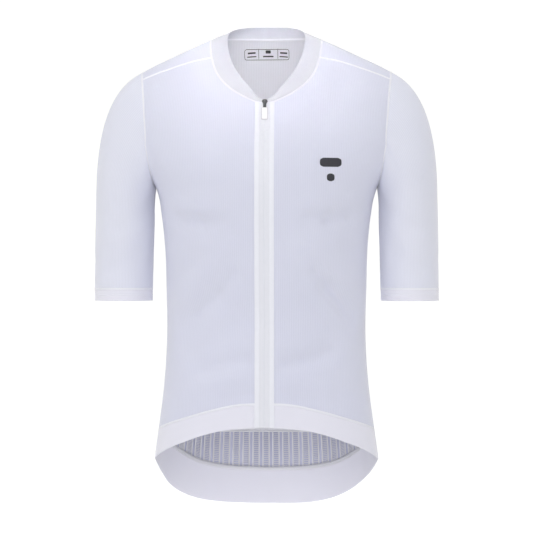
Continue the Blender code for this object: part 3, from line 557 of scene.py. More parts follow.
    def outer(self, places: Array) -> tuple[Array, Array]:
        """Points of the cloth's outer face, folds and creases included.

        Args:
            places: Angle and rise of each.

        Returns:
            The points and the outward directions at them.
        """
        points = self.bare(places)
        normals = self.normal(places)
        height = np.zeros(points.shape[:-1])
        for fold in self.folds:
            start = self.at(fold.face, fold.x_start, fold.z_start)
            end = self.at(fold.face, fold.x_end, fold.z_end)
            height += fold_height(points, start, end, fold.width, fold.depth)
        for crease in self.creases:
            start = self.at(crease.face, crease.x_start, crease.z_start)
            middle = self.at(crease.face, crease.x_middle, crease.z_middle)
            end = self.at(crease.face, crease.x_end, crease.z_end)
            height += crease_height(points, (start, middle, end), crease.width, crease.depth)
        return points + normals * height[..., None], normals

    def weave(self, places: Array, centre: float) -> Array:
        """Places in the knit, whose ribs run up the cloth.

        Args:
            places: Angle and rise of each.
            centre: The angle of the rib that distances across are counted from.

        Returns:
            For each, how far it is across the ribs and how far it is along them.
        """
        shares = even(24)
        turned = np.repeat(places[..., None, :], len(shares), axis=-2)
        risen = turned.copy()
        offset = places[..., 0] - centre
        turned[..., 0] = centre + offset[..., None] * shares
        risen[..., 1] = places[..., 1, None] * shares
        across = np.linalg.norm(np.diff(self.bare(turned), axis=-2), axis=-1).sum(-1)
        along = np.linalg.norm(np.diff(self.bare(risen), axis=-2), axis=-1).sum(-1)
        return np.stack([across * np.sign(offset), along * np.sign(places[..., 1])], -1)

    def cloth(self, places: Array, centre: float) -> Cloth:
        """The cloth over a grid of places, its weave counted from an angle."""
        points, normals = self.outer(places)
        return Cloth(points, normals, self.weave(places, centre))

    def seam(self, rows: Sequence[SeamPoint], from_back: bool = False) -> Edge:
        """The seam through a table of points.

        Args:
            rows: The table.
            from_back: Whether its front points are reached from the back.

        Returns:
            An edge from the table's first point to its last.
        """
        places = np.array([self.place(row.face, row.x, row.z, from_back) for row in rows])
        lengths = path_lengths(self.bare(places))
        return SmoothCurve(lengths / lengths[-1], places)

    def level_seam(self, rows: Sequence[Line], first: float, last: float) -> Edge:
        """A seam that is a height at each angle.

        Args:
            rows: The table; where it ends at the centre back, it is mirrored past it.
            first: The angle where the edge starts.
            last: The angle where it ends.

        Returns:
            An edge at even angles.
        """
        height = curve(rows, "angle", "z")
        whole = rows[-1].angle > 180.0 or last <= 180.0

        def edge(shares: Array) -> Array:
            """Places at shares of the way."""
            angle = first + (last - first) * shares
            folded = angle if whole else np.minimum(angle, 360.0 - angle)
            return np.stack([np.radians(angle), height(folded) - self.base_z], -1)

        return edge

    def back_seam(self, rows: Sequence[Line]) -> Edge:
        """A seam across the whole back, from the left side seam to the right."""
        first = float(self.side_angle(rows[0].z))
        ended = [Line(first, rows[0].z), *rows[1:]]
        if rows[-1].angle > 180.0:
            ended[-1] = Line(360.0 - first, rows[-1].z)
        return self.level_seam(ended, first, 360.0 - first)

    def side_seam(self, low: float, high: float) -> Edge:
        """The left side seam from one height up to another."""

        def edge(shares: Array) -> Array:
            """Places at shares of the way."""
            z = low + (high - low) * shares
            return np.stack([np.radians(self.side_angle(z)), z - self.base_z], -1)

        return edge

    def zip_edge(self, x: float, low: float, high: float) -> Edge:
        """A line up the front at a fixed width from the middle of the zip.

        Args:
            x: The width.
            low: The height where it starts.
            high: The height where it ends.

        Returns:
            The edge.
        """
        start = self.place(Face.FRONT, x, low)[1]
        end = self.place(Face.FRONT, x, high)[1]

        def edge(shares: Array) -> Array:
            """Places at shares of the way."""
            rise = start + (end - start) * shares
            width = self.half_width(self.base_z + np.minimum(rise, 0.0))
            return np.stack([np.arcsin(signed_power(x / width, self.squareness / 2)), rise], -1)

        return edge


def joined(first: Edge, second: Edge, share: float) -> Edge:
    """Two edges as one, the first up to a share of the way."""

    def edge(shares: Array) -> Array:
        """Places at shares of the way."""
        low = first(np.minimum(shares / share, 1.0))
        high = second(np.clip((shares - share) / (1 - share), 0.0, 1.0))
        return np.where((shares <= share)[..., None], low, high)

    return edge


def start_of(edge: Edge) -> Array:
    """The place where an edge starts."""
    return edge(np.zeros(1))[0]


def reverse(edge: Edge) -> Edge:
    """The same edge from its end to its start."""
    return lambda shares: edge(1.0 - shares)


def stretch(edge: Edge, low: float, high: float) -> Edge:
    """The part of an edge between two shares of the way."""
    return lambda shares: edge(low + (high - low) * shares)


def straight(start: Array, end: Array) -> Edge:
    """The straight line between two places."""
    return lambda shares: start + (end - start) * shares[..., None]


def pinned(edge: Edge, start: Array, end: Array) -> Edge:
    """Draws an edge a little so that it starts and ends at two places.

    Args:
        edge: The edge.
        start: Where it has to start.
        end: Where it has to end.

    Returns:
        The edge that is drawn.
    """
    first = start - start_of(edge)
    last = end - start_of(reverse(edge))

    def drawn(shares: Array) -> Array:
        """Places at shares of the way."""
        t = shares[..., None]
        return edge(shares) + (1 - t) * first + t * last

    return drawn


def over_ridge(edge: Edge, form: TorsoForm) -> Edge:
    """The same points of the form, reached from the back over the ridge."""
    turn = np.array([math.pi, math.pi * form.shoulder_scale])
    return lambda shares: turn - edge(shares)


def other_side(places: Array) -> Array:
    """The same places on the other side of the centre back."""
    return np.stack([2 * math.pi - places[..., 0], places[..., 1]], -1)


def from_other_side(edge: Edge) -> Edge:
    """The same edge on the other side of the centre back."""
    return lambda shares: other_side(edge(shares))


def patch(bottom: Edge, top: Edge, left: Edge, right: Edge, us: Array, vs: Array) -> Array:
    """A grid of places between four edges, blended from all of them.

    Args:
        bottom: The edge under the first row.
        top: The edge over the last row.
        left: The edge up the first column.
        right: The edge up the last column.
        us: Shares of the way across, one a column.
        vs: Shares of the way up, one a row.

    Returns:
        The places by row and column.
    """
    u = us[None, :, None]
    v = vs[:, None, None]
    ends = np.array([0.0, 1.0])
    low, high = bottom(ends), top(ends)
    corners = (low[0] * (1 - u) + low[1] * u) * (1 - v) + (high[0] * (1 - u) + high[1] * u) * v
    from_ends = bottom(us)[None] * (1 - v) + top(us)[None] * v
    from_sides = left(vs)[:, None] * (1 - u) + right(vs)[:, None] * u
    return from_ends + from_sides - corners


class MeshParts:
    """Points, four-cornered faces and weave places that are gathered into one mesh."""

    def __init__(self) -> None:
        """Starts with nothing in it."""
        self.points: list[Array] = []
        self.faces: list[Array] = []
        self.weave: list[Array] = []
        self.inner: list[Array] = []
        self.count = 0

    def add(self, points: Array, faces: Array, weave: Array, inner: tuple[int, int] = (0, 0)) -> None:
        """Adds a piece.

        Args:
            points: Its points, one a row.
            faces: Four point numbers a face.
            weave: A place in the knit for each corner of each face, or for each point.
            inner: The first and the last number of its faces that are on the cloth's inner side.
        """
        points, faces = points.reshape(-1, 3), faces.reshape(-1, 4)
        self.points.append(points)
        self.faces.append(faces + self.count)
        self.weave.append(weave[faces] if weave.ndim == 2 else weave)
        face_ids = np.arange(len(faces))
        self.inner.append((face_ids >= inner[0]) & (face_ids < inner[1]))
        self.count += len(points)

    def mesh(self, name: str) -> bpy.types.Mesh:
        """Makes the mesh of everything that was added, smooth but for its sharp edges.

        Args:
            name: The mesh's name.

        Returns:
            The mesh.
        """
        points, faces = np.concatenate(self.points), np.concatenate(self.faces)
        mesh = bpy.data.meshes.new(name)
        mesh.vertices.add(len(points))
        mesh.vertices.foreach_set("co", (points * MM).astype(np.float32).ravel())
        mesh.loops.add(faces.size)
        mesh.loops.foreach_set("vertex_index", faces.astype(np.int32).ravel())
        mesh.polygons.add(len(faces))
        mesh.polygons.foreach_set("loop_start", np.arange(0, faces.size, 4, dtype=np.int32))
        layer = mesh.uv_layers.new(name="weave")
        layer.uv.foreach_set("vector", np.concatenate(self.weave).astype(np.float32).ravel())
        mesh.polygons.foreach_set("material_index", np.concatenate(self.inner).astype(np.int32))
        mesh.update(calc_edges=True)
        mesh.shade_smooth()
        mesh.set_sharp_from_angle(angle=SHARP_EDGE)
        return mesh


def border(faces: Array) -> Array:
    """The edges that only one face has.

    Args:
        faces: Four point numbers a face.

    Returns:
        Two point numbers an edge, in its face's turning direction.
    """
    edges = np.concatenate([faces[:, [k, (k + 1) % 4]] for k in range(4)])
    size = int(faces.max()) + 1
    codes = edges[:, 0] * size + edges[:, 1]
    return edges[~np.isin(codes, edges[:, 1] * size + edges[:, 0])]


def grid_cells(cloth: Cloth) -> tuple[Array, Array]:
    """The cells of a cloth whose four corners are there.

    Args:
        cloth: The cloth.

    Returns:
        Four point numbers a cell, and the weave place of each corner.
    """
    rows, columns = cloth.points.shape[:2]
    ids = np.arange(rows * columns).reshape(rows, columns)
    first = np.arange(columns if cloth.closed else columns - 1)
    second = (first + 1) % columns
    corners = [ids[:-1][:, first], ids[:-1][:, second], ids[1:][:, second], ids[1:][:, first]]
    faces = np.stack(corners, -1).reshape(-1, 4)
    weave = cloth.weave
    places = [weave[:-1][:, first], weave[:-1][:, first + 1], weave[1:][:, first + 1], weave[1:][:, first]]
    corner_places = np.stack(places, -2).reshape(-1, 4, 2)
    there = ~np.isnan(cloth.points[..., 0].ravel())
    whole = there[faces].all(axis=1)
    return faces[whole], corner_places[whole]


def add_shell(parts: MeshParts, cloth: Cloth, thickness: float, rim_steps: int = 3) -> None:
    """Adds a closed thin wall of cloth with rounded edges.

    Args:
        parts: What it is added to.
        cloth: Its outer face.
        thickness: How thick it is.
        rim_steps: Number of steps round each edge.
    """
    faces, corner_weave = grid_cells(cloth)
    points = cloth.points.reshape(-1, 3).copy()
    normals = cloth.normals.reshape(-1, 3)
    edges = border(faces)
    along = unit(points[edges[:, 1]] - points[edges[:, 0]])
    outward = np.zeros_like(points)
    for end in range(2):
        np.add.at(outward, edges[:, end], unit(np.cross(along, normals[edges[:, end]])))
    rim_ids = np.unique(edges)
    outward = unit(outward)
    half = thickness / 2
    points[rim_ids] -= outward[rim_ids] * half
    inner = points - normals * thickness
    used = np.unique(faces)
    number = np.full(len(points), -1)
    number[used] = np.arange(len(used))
    layers = [points[used], inner[used]]
    faces = number[faces]
    place = np.full(int(used.max()) + 1, -1)
    place[rim_ids] = np.arange(len(rim_ids))
    rings = [number[rim_ids]]
    total = 2 * len(used)
    middle = (points - normals * half)[rim_ids]
    for step in range(1, rim_steps):
        turn = math.pi * step / rim_steps
        ring = middle + (normals[rim_ids] * math.cos(turn) + outward[rim_ids] * math.sin(turn)) * half
        layers.append(ring)
        rings.append(np.arange(total, total + len(ring)))
        total += len(ring)
    rings.append(number[rim_ids] + len(used))
    start, end = place[edges[:, 0]], place[edges[:, 1]]
    sides = [
        np.stack([near[end], near[start], far[start], far[end]], -1)
        for near, far in zip(rings, rings[1:])
    ]
    vertex_weave = np.zeros((len(used), 2))
    vertex_weave[faces.ravel()] = corner_weave.reshape(-1, 2)
    rim_weave = vertex_weave[number[rim_ids]]
    rim_places = np.stack([rim_weave[end], rim_weave[start], rim_weave[start], rim_weave[end]], -2)
    all_faces = np.concatenate([faces, faces[:, ::-1] + len(used), *sides])
    all_weave = np.concatenate([corner_weave, corner_weave[:, ::-1], *[rim_places] * rim_steps])
    parts.add(np.concatenate(layers), all_faces, all_weave, (len(faces), 2 * len(faces)))


def add_strip(parts: MeshParts, rows: Array) -> None:
    """Adds an open strip from a grid of points by row and column, turned as the grid is."""
    ids = np.arange(rows[..., 0].size).reshape(rows.shape[:2])
    faces = np.stack([ids[:-1, :-1], ids[:-1, 1:], ids[1:, 1:], ids[1:, :-1]], -1)
    weave = np.stack(np.meshgrid(path_lengths(rows[0]), path_lengths(rows[:, 0])), -1)
    parts.add(rows, faces, weave.reshape(-1, 2))


def add_threads(parts: MeshParts, paths: Array, normals: Array, radius: float, sides: int = 4) -> None:
    """Adds a round thread along each of many paths, closed at both ends.

    Args:
        parts: What they are added to.
        paths: Points by path and step.
        normals: A direction off the cloth at each point.
        radius: The threads' radius.
        sides: Number of sides round a thread, an even one.
    """
    along = unit(np.gradient(paths, axis=1))
    side = unit(np.cross(along, normals))
    lift = np.cross(side, along)
    turns = 2 * math.pi * np.arange(sides) / sides
    ring = np.cos(turns)[:, None] * side[..., None, :] + np.sin(turns)[:, None] * lift[..., None, :]
    tubes = paths[..., None, :] + ring * radius
    tips = paths[:, [0, -1]] + np.stack([-along[:, 0], along[:, -1]], 1) * radius * TIP_REACH
    count, steps = paths.shape[:2]
    block = np.concatenate([tubes.reshape(count, -1, 3), tips], axis=1)
    ids = np.arange(steps * sides).reshape(steps, sides)
    after = np.roll(ids, -1, axis=1)
    walls = np.stack([ids[:-1], ids[1:], after[1:], after[:-1]], -1).reshape(-1, 4)
    first, last = steps * sides, steps * sides + 1
    caps = []
    for k in range(0, sides, 2):
        j, m = k + 1, (k + 2) % sides
        caps.append([first, ids[0, k], ids[0, j], ids[0, m]])
        caps.append([last, ids[-1, m], ids[-1, j], ids[-1, k]])
    one = np.concatenate([walls, np.array(caps)])
    faces = one[None] + (np.arange(count) * block.shape[1])[:, None, None]
    legs = np.linalg.norm(np.diff(paths, axis=1), axis=-1)
    distance = np.concatenate([np.zeros((count, 1)), np.cumsum(legs, axis=1)], axis=1)
    weave = np.zeros((count, block.shape[1], 2))
    weave[:, : steps * sides, 0] = np.tile(np.arange(sides) * radius, steps)
    weave[:, : steps * sides, 1] = np.repeat(distance, sides, axis=1)
    parts.add(block, faces, weave.reshape(-1, 2))


def resampled(step: float, path: Array, *others: Array) -> tuple[Array, ...]:
    """A path, and what goes with its points, at even steps.

    Args:
        step: About how far apart the new points are.
        path: The path's points.
        others: Values or directions at the same points.

    Returns:
        The new points, and the others at them.
    """
    lengths = path_lengths(path)
    count = max(2, round(lengths[-1] / step) + 1)
    stops = np.linspace(0.0, lengths[-1], count)
    found = []
    for values in (path, *others):
        found.append(np.stack([np.interp(stops, lengths, values[:, k]) for k in range(values.shape[1])], -1))
    return tuple(found)


@dataclass(frozen=True)
class SeamLine:
    """A seam's points on the cloth, and the directions into the cloth on both sides of it."""

    points: Array
    normals: Array
    before: Array
    after: Array

    @classmethod
    def flat(cls, points: Array, normals: Array) -> SeamLine:
        """The seam of two pieces that lie in one surface."""
        after = unit(np.cross(np.gradient(points, axis=0), normals))
        return cls(points, normals, -after, after)

    @classmethod
    def bent(cls, points: Array, panel: Array, into: Array, piece: Array) -> SeamLine:
        """The seam of a panel and a piece that goes from it into another direction."""
        after = unit(np.cross(np.gradient(points, axis=0), panel))
        return cls(points, unit(panel + piece), into, after)

    def inside(self, depth: float) -> SeamLine:
        """The same seam on the inner face of the cloth."""
        return SeamLine(self.points - self.normals * depth, -self.normals, self.after, self.before)

    def mirrored(self) -> SeamLine:
        """The same seam on the other side of the body."""
        parts = (self.points, self.normals, self.after, self.before)
        return SeamLine(*(part * MIRRORED for part in parts))

    def even(self, step: float) -> SeamLine:
        """The same seam with its points at even steps."""
        return SeamLine(*resampled(step, self.points, self.normals, self.before, self.after))

    def at(self, across: float | Array, lift: float | Array) -> Array:
        """Points at a distance across and a lift off the cloth, the same or one for each."""
        count = len(self.points)
        aside = np.broadcast_to(np.asarray(across, float), count)[:, None]
        raised = np.broadcast_to(np.asarray(lift, float), count)[:, None]
        side = np.where(aside < 0, self.before, self.after)
        return self.points + side * np.abs(aside) + self.normals * raised


@dataclass(frozen=True)
class Stitching:
    """A flat seam: joined edges under a soft ridge, two needle threads and a zigzag over them."""

    half_width: float = 1.9
    rise: float = 0.55
    sunk: float = -0.3
    ridge_step: float = 2.5
    thread: float = 0.17
    zigzag: float = 1.15
    zigzag_pitch: float = 2.2
    zigzag_sunk: float = 0.05
    stitch: float = 2.3
    stitch_sunk: float = 0.15
    stitch_dip: float = 0.3
    needles: tuple[float, ...] = (-1.2, 1.2)

    def add(self, ridge: MeshParts, threads: MeshParts, seam: SeamLine) -> None:
        """Adds the ridge and the threads of a seam.

        Args:
            ridge: What the ridge is added to.
            threads: What the threads are added to.
            seam: The seam.
        """
        line = seam.even(self.ridge_step)
        rows = []
        for share in np.linspace(-1.0, 1.0, 7):
            lift = self.sunk + (self.rise - self.sunk) * (1 - share**4)
            rows.append(line.at(share * self.half_width, lift))
        add_strip(ridge, np.stack(rows, axis=1))
        if self.zigzag:
            line = seam.even(self.zigzag_pitch / 2)
            swing = self.zigzag * (-1.0) ** np.arange(len(line.points))
            path = line.at(swing, self.rise - self.zigzag_sunk)
            add_threads(threads, path[None], line.normals[None], self.thread)
        self.add_stitches(threads, seam, self.rise - self.stitch_sunk)

    def add_stitches(self, threads: MeshParts, seam: SeamLine, lift: float) -> None:
        """Adds only the needle threads of a seam, as short stitches that dip into the cloth.

        Args:
            threads: What they are added to.
            seam: The seam.
            lift: How far over the cloth they lie.
        """
        line = seam.even(self.stitch / 3)
        count = (len(line.points) + 1) // 4
        keep = np.arange(count)[:, None] * 4 + np.arange(3)
        dip = line.normals[keep] * np.array([self.stitch_dip, 0.0, self.stitch_dip])[:, None]
        for across in self.needles:
            paths = line.at(across, lift)[keep] - dip
            add_threads(threads, paths, line.normals[keep], self.thread)


@dataclass(frozen=True)
class Pattern:
    """The seams of the torso's pieces on the form, as the solids have them."""

    form: TorsoForm
    tape_edge: float = 13.4
    zip_slit: float = -0.45
    neck_share: float = 7 / 12
    side_share: float = 15 / 26
    band_share: float = 3 / 29
    back_side_share: float = 14 / 27
    nape_share: float = 23 / 27
    shoulder_share: float = 5 / 20
    pocket_mesh_share: float = 4 / 9
    pocket_back_share: float = 5 / 27

    def front_level(self, rows: Sequence[Line], first: float) -> Edge:
        """A level seam of a front half, from an angle at the zip tape to the side seam."""
        low = rows[-1].z
        edge = self.form.level_seam(rows, math.degrees(first), float(self.form.side_angle(low)))
        return pinned(edge, start_of(edge), start_of(self.form.side_seam(low, UNDERARM_Z)))

    @cached_property
    def band_seam(self) -> Edge:
        """The seam of a front half and its hem band, from the zip tape to the side."""
        corner = self.form.place(Face.FRONT, self.tape_edge, FRONT_BAND_SEAM[0].z)
        return self.front_level(FRONT_BAND_SEAM, corner[0])

    @cached_property
    def front_hem(self) -> Edge:
        """The hem of a front half, from the zip tape to the side."""
        return self.front_level(FRONT_HEM, start_of(self.band_seam)[0])

    @cached_property
    def front_top(self) -> Edge:
        """The neck seam and shoulder seam of a front half."""
        neck = self.form.seam(NECK_FRONT[1:])
        return joined(neck, self.form.seam(SHOULDER_SEAM), self.neck_share)

    @cached_property
    def front_tape_side(self) -> Edge:
        """The edge of a front half along the zip tape."""
        start, end = start_of(self.band_seam), start_of(self.front_top)
        low = start[1] + self.form.base_z
        return pinned(self.form.zip_edge(self.tape_edge, low, NECK_FRONT[1].z), start, end)

    @cached_property
    def front_outer_side(self) -> Edge:
        """The side seam and armhole of a front half."""
        side = self.form.side_seam(FRONT_BAND_SEAM[-1].z, UNDERARM_Z)
        return joined(side, self.form.seam(ARMHOLE_FRONT), self.side_share)

    def front(self, us: Array, vs: Array) -> Array:
        """Places of the left front half, at shares from the zip out and from the band up."""
        return patch(self.band_seam, self.front_top, self.front_tape_side, self.front_outer_side, us, vs)

    def front_band(self, us: Array, vs: Array) -> Array:
        """Places of the left front hem band, at shares from the zip out and from the hem up."""
        left = straight(start_of(self.front_hem), start_of(self.band_seam))
        right = self.form.side_seam(FRONT_HEM[-1].z, FRONT_BAND_SEAM[-1].z)
        return patch(self.front_hem, self.band_seam, left, right, us, vs)

    def tape(self, us: Array, vs: Array) -> Array:
        """Places of the left zip tape, at shares from the slit out and from the hem up."""
        band_end = straight(start_of(self.front_hem), start_of(self.band_seam))
        outer = joined(band_end, self.front_tape_side, self.band_share)
        slit = self.form.zip_edge(self.zip_slit, FRONT_HEM[0].z, NECK_FRONT[0].z)
        ends = np.array([0.0, 1.0])
        low, high = (straight(slit(ends)[k], outer(ends)[k]) for k in range(2))
        return patch(low, high, slit, outer, us, vs)

    @cached_property
    def mesh_top(self) -> Edge:
        """The seam of the back and its mesh, from the left side round to the right."""
        return self.form.back_seam(MESH_TOP_SEAM)

    @cached_property
    def back_band_seam(self) -> Edge:
        """The seam of the mesh and the back hem band."""
        return self.form.back_seam(BACK_BAND_SEAM)

    @cached_property
    def back_hem(self) -> Edge:
        """The hem of the tail."""
        return self.form.back_seam(BACK_HEM)

    @cached_property
    def nape(self) -> Edge:
        """The neck seam of the back, from left to right."""
        left = self.form.seam(NAPE)
        return joined(left, from_other_side(reverse(left)), 0.5)

    @cached_property
    def neck_column(self) -> Edge:
        """The line up the back to the left corner of the nape."""
        return straight(self.mesh_top(np.array([self.shoulder_share]))[0], start_of(self.nape))

    @cached_property
    def neck_side(self) -> Edge:
        """The neck seam over the left shoulder, reached from the back."""
        return self.form.seam(NECK_SIDE, from_back=True)

    @cached_property
    def back_outer_side(self) -> Edge:
        """The left side seam and armhole of the back."""
        side = self.form.side_seam(MESH_TOP_SEAM[0].z, UNDERARM_Z)
        return joined(side, self.form.seam(ARMHOLE_BACK, from_back=True), self.back_side_share)

    def back(self, us: Array, vs: Array) -> Array:
        """Places of the back.

        Args:
            us: Shares from the left side to the right, even about the middle.
            vs: Shares from the mesh up to the shoulder seams.

        Returns:
            The places by row and column, not numbers over the nape.
        """
        edge = self.shoulder_share
        shoulder = reverse(over_ridge(self.form.seam(SHOULDER_SEAM), self.form))
        neck_line = joined(self.neck_column, self.neck_side, self.nape_share)
        low = stretch(self.mesh_top, 0.0, edge)

        def left(shares: Array) -> Array:
            """Places of the left shoulder's part."""
            return patch(low, shoulder, self.back_outer_side, neck_line, shares / edge, vs)

        middle_low = stretch(self.mesh_top, edge, 1 - edge)
        right_column = from_other_side(self.neck_column)
        rises = np.minimum(vs / self.nape_share, 1.0)
        shares = (us - edge) / (1 - 2 * edge)
        places = patch(middle_low, self.nape, self.neck_column, right_column, shares, rises)
        places[vs > self.nape_share + 1e-6] = np.nan
        outer = us <= edge + 1e-6
        places[:, outer] = left(us[outer])
        beyond = us >= 1 - edge - 1e-6
        places[:, beyond] = other_side(left(1 - us[beyond]))
        return places

    def strip(self, low: Edge, high: Edge, us: Array, vs: Array) -> Array:
        """Places of a strip across the back between two seams."""
        start, end = start_of(low), start_of(high)
        base = self.form.base_z
        left = pinned(self.form.side_seam(start[1] + base, end[1] + base), start, end)
        return patch(low, high, left, from_other_side(left), us, vs)

    def mesh(self, us: Array, vs: Array) -> Array:
        """Places of the openwork across the lower back."""
        return self.strip(self.back_band_seam, self.mesh_top, us, vs)

    def back_band(self, us: Array, vs: Array) -> Array:
        """Places of the back hem band."""
        return self.strip(self.back_hem, self.back_band_seam, us, vs)

    def pocket(self, us: Array, vs: Array) -> Array:
        """Places under the pocket panel, at shares across the back and from the band up."""
        split = self.pocket_mesh_share
        low = self.mesh(us, vs[vs <= split] / split)
        rises = (vs[vs > split] - split) / (1 - split) * self.pocket_back_share
        return np.concatenate([low, self.back(us, rises)])


BLACK = (0.0, 0.0, 0.0, 1.0)
Colour = tuple[float, float, float]
Input = float | tuple[float, ...] | bpy.types.NodeSocket


class NodeBench:
    """The nodes of one material, added and joined up in short lines."""

    def __init__(self, name: str) -> None:
        """Starts a material with its Principled shader."""
        self.material = bpy.data.materials.new(name)
        self.material.use_nodes = True
        self.tree = self.material.node_tree
        self.shader = self.tree.nodes["Principled BSDF"]

    def put(self, value: Input, socket: bpy.types.NodeSocket) -> None:
        """Gives an input a number or joins it to another node's output."""
        if isinstance(value, bpy.types.NodeSocket):
            self.tree.links.new(value, socket)
        else:
            socket.default_value = value

    def node(self, kind: str, inputs: dict[str | int, Input], **options: object) -> bpy.types.Node:
        """Adds a node.

        Args:
            kind: Its Blender type.
            inputs: What goes into it, by input name or number.
            options: Its own properties.

        Returns:
            The node.
        """
        made = self.tree.nodes.new(kind)
        for name, value in options.items():
            setattr(made, name, value)
        for key, value in inputs.items():
            self.put(value, made.inputs[key])
        return made

    def math(
        self, operation: str, first: Input, second: Input = 0.0, third: Input = 0.0
    ) -> bpy.types.NodeSocket:
        """The result of a sum on up to three values."""
        inputs = {0: first, 1: second, 2: third}
        return self.node("ShaderNodeMath", inputs, operation=operation).outputs[0]

    def noise(self, place: Input, scale: float, detail: float = 2.0) -> bpy.types.NodeSocket:
        """Smooth noise about 0.5 at a scale."""
        inputs = {"Vector": place, "Scale": scale, "Detail": detail}
        return self.node("ShaderNodeTexNoise", inputs).outputs[0]

    def span(self, value: Input, low: float, high: float) -> bpy.types.NodeSocket:
        """A value between 0 and 1 spread between two others."""
        return self.node("ShaderNodeMapRange", {0: value, 3: low, 4: high}).outputs[0]

    def mix(self, share: Input, first: Input, second: Input) -> bpy.types.NodeSocket:
        """A colour between two."""
        made = self.node("ShaderNodeMix", {}, data_type="RGBA")
        self.put(share, made.inputs[0])
        self.put(first, made.inputs[6])
        self.put(second, made.inputs[7])
        return made.outputs[2]

    def weave(self) -> tuple[bpy.types.NodeSocket, bpy.types.NodeSocket, bpy.types.NodeSocket]:
        """The place in the knit in millimetres: as a vector, across the ribs and along them."""
        place = self.node("ShaderNodeUVMap", {}, uv_map="weave").outputs[0]
        parts = self.node("ShaderNodeSeparateXYZ", {0: place})
        return place, parts.outputs[0], parts.outputs[1]

    def place(self) -> bpy.types.NodeSocket:
        """The place on the object in metres."""
        return self.node("ShaderNodeTexCoord", {}).outputs["Object"]

    def wave(self, along: Input, pitch: float) -> bpy.types.NodeSocket:
        """A wave between 0 and 1 with a pitch in millimetres."""
        turned = self.math("MULTIPLY", along, 2 * math.pi / pitch)
        return self.math("MULTIPLY_ADD", self.math("SINE", turned), 0.5, 0.5)

    def finish(
        self, colour: Input, roughness: Input, height: Input, relief: float, **constants: Input
    ) -> bpy.types.Material:
        """Joins up the shader.

        Args:
            colour: Its base colour.
            roughness: Its roughness.
            height: The relief's height between 0 and 1.
            relief: The relief's real height in millimetres.
            constants: The shader's other inputs, by name with _ for a space.

        Returns:
            The finished material.
        """
        bump = self.node("ShaderNodeBump", {"Height": height, "Distance": relief * MM, "Strength": 1.0})
        self.put(colour, self.shader.inputs["Base Color"])
        self.put(roughness, self.shader.inputs["Roughness"])
        self.put(bump.outputs[0], self.shader.inputs["Normal"])
        for name, value in constants.items():
            self.put(value, self.shader.inputs[name.replace("_", " ")])
        return self.material


def rgba(colour: Colour, shade: float = 1.0) -> tuple[float, float, float, float]:
    """A colour with its alpha, made lighter or darker."""
    return (colour[0] * shade, colour[1] * shade, colour[2] * shade, 1.0)


@dataclass(frozen=True)
class Finish:
    """A finish that is made into one material the first time it is asked for."""

    name: str
    slot: str
    colour: Colour
    roughness: float
    rough_range: tuple[float, float] = (-0.06, 0.06)
    relief: float = 0.03
    grain_scale: float = 900.0
    cloud_scale: float = 60.0
    dark_shade: float = 0.95

    def material(self) -> bpy.types.Material:
        """The finish's material."""
        found = bpy.data.materials.get(self.name)
        return found or self.recipe(NodeBench(self.name))

    def rough(self, bench: NodeBench, grain: Input) -> bpy.types.NodeSocket:
        """The roughness, made uneven by a grain."""
        return bench.span(grain, *(self.roughness + step for step in self.rough_range))

    def recipe(self, bench: NodeBench) -> bpy.types.Material:
        """Plain moulded finish with a fine uneven surface."""
        grain = bench.noise(bench.place(), self.grain_scale, 3.0)
        cloud = bench.noise(bench.place(), self.cloud_scale)
        tone = bench.mix(cloud, rgba(self.colour, self.dark_shade), rgba(self.colour))
        return bench.finish(tone, self.rough(bench, grain), grain, self.relief)


@dataclass(frozen=True)
class Knit(Finish):
    """Ribbed warp knit: rounded ribs up the cloth, parted by narrow valleys, over fine courses."""

    rough_range: tuple[float, float] = (-0.08, 0.08)
    relief: float = 0.22
    grain_scale: float = 3.2
    cloud_scale: float = 7.0
    # How dark the painted shade in the valleys between the ribs is.
    dark_shade: float = 0.92
    mottling: float = 0.03
    rib_pitch: float = 2.6
    rib_roundness: float = 0.6
    rib_wander: float = 0.6
    wander_scale: float = 0.04
    course_pitch: float = 0.9
    course_bow: float = 0.4
    rib_part: float = 0.7
    course_part: float = 0.12
    grain_part: float = 0.2
    sheen: float = 0.4
    sheen_roughness: float = 0.5
    glow: float = 0.6
    glow_reach: float = 1.6

    def recipe(self, bench: NodeBench) -> bpy.types.Material:
        """Ribs, courses, loose fibres and the cloud of a dyed knit, with painted shade in the valleys
        between the ribs.
        """
        vector, across, along = bench.weave()
        wander = bench.noise(vector, self.wander_scale, 1.0)
        place = bench.math("MULTIPLY_ADD", wander, self.rib_wander, across)
        turned = bench.math("MULTIPLY", place, math.pi / self.rib_pitch)
        rib = bench.math("ABSOLUTE", bench.math("SINE", turned))
        rib = bench.math("POWER", rib, self.rib_roundness)
        bow = bench.math("MULTIPLY", rib, self.course_bow)
        course = bench.wave(bench.math("ADD", along, bow), self.course_pitch)
        grain = bench.noise(vector, self.grain_scale, 3.0)
        # Painted shade: the knit is darker in the valleys between its ribs; the cloud and the grain add
        # random mottling.
        shade = bench.span(rib, self.dark_shade, 1.0)
        for cloud in (bench.noise(bench.place(), self.cloud_scale), grain):
            shade = bench.math("ADD", shade, bench.span(cloud, -self.mottling, self.mottling))
        height = bench.math("MULTIPLY", rib, self.rib_part)
        height = bench.math("MULTIPLY_ADD", course, self.course_part, height)
        height = bench.math("MULTIPLY_ADD", grain, self.grain_part, height)
        return bench.finish(
            bench.mix(shade, BLACK, rgba(self.colour)),
            self.rough(bench, grain),
            height,
            self.relief,
            Sheen_Weight=self.sheen,
            Sheen_Roughness=self.sheen_roughness,
            Subsurface_Weight=self.glow,
            Subsurface_Radius=(1.0, 1.0, 1.0),
            Subsurface_Scale=self.glow_reach * MM,
        )


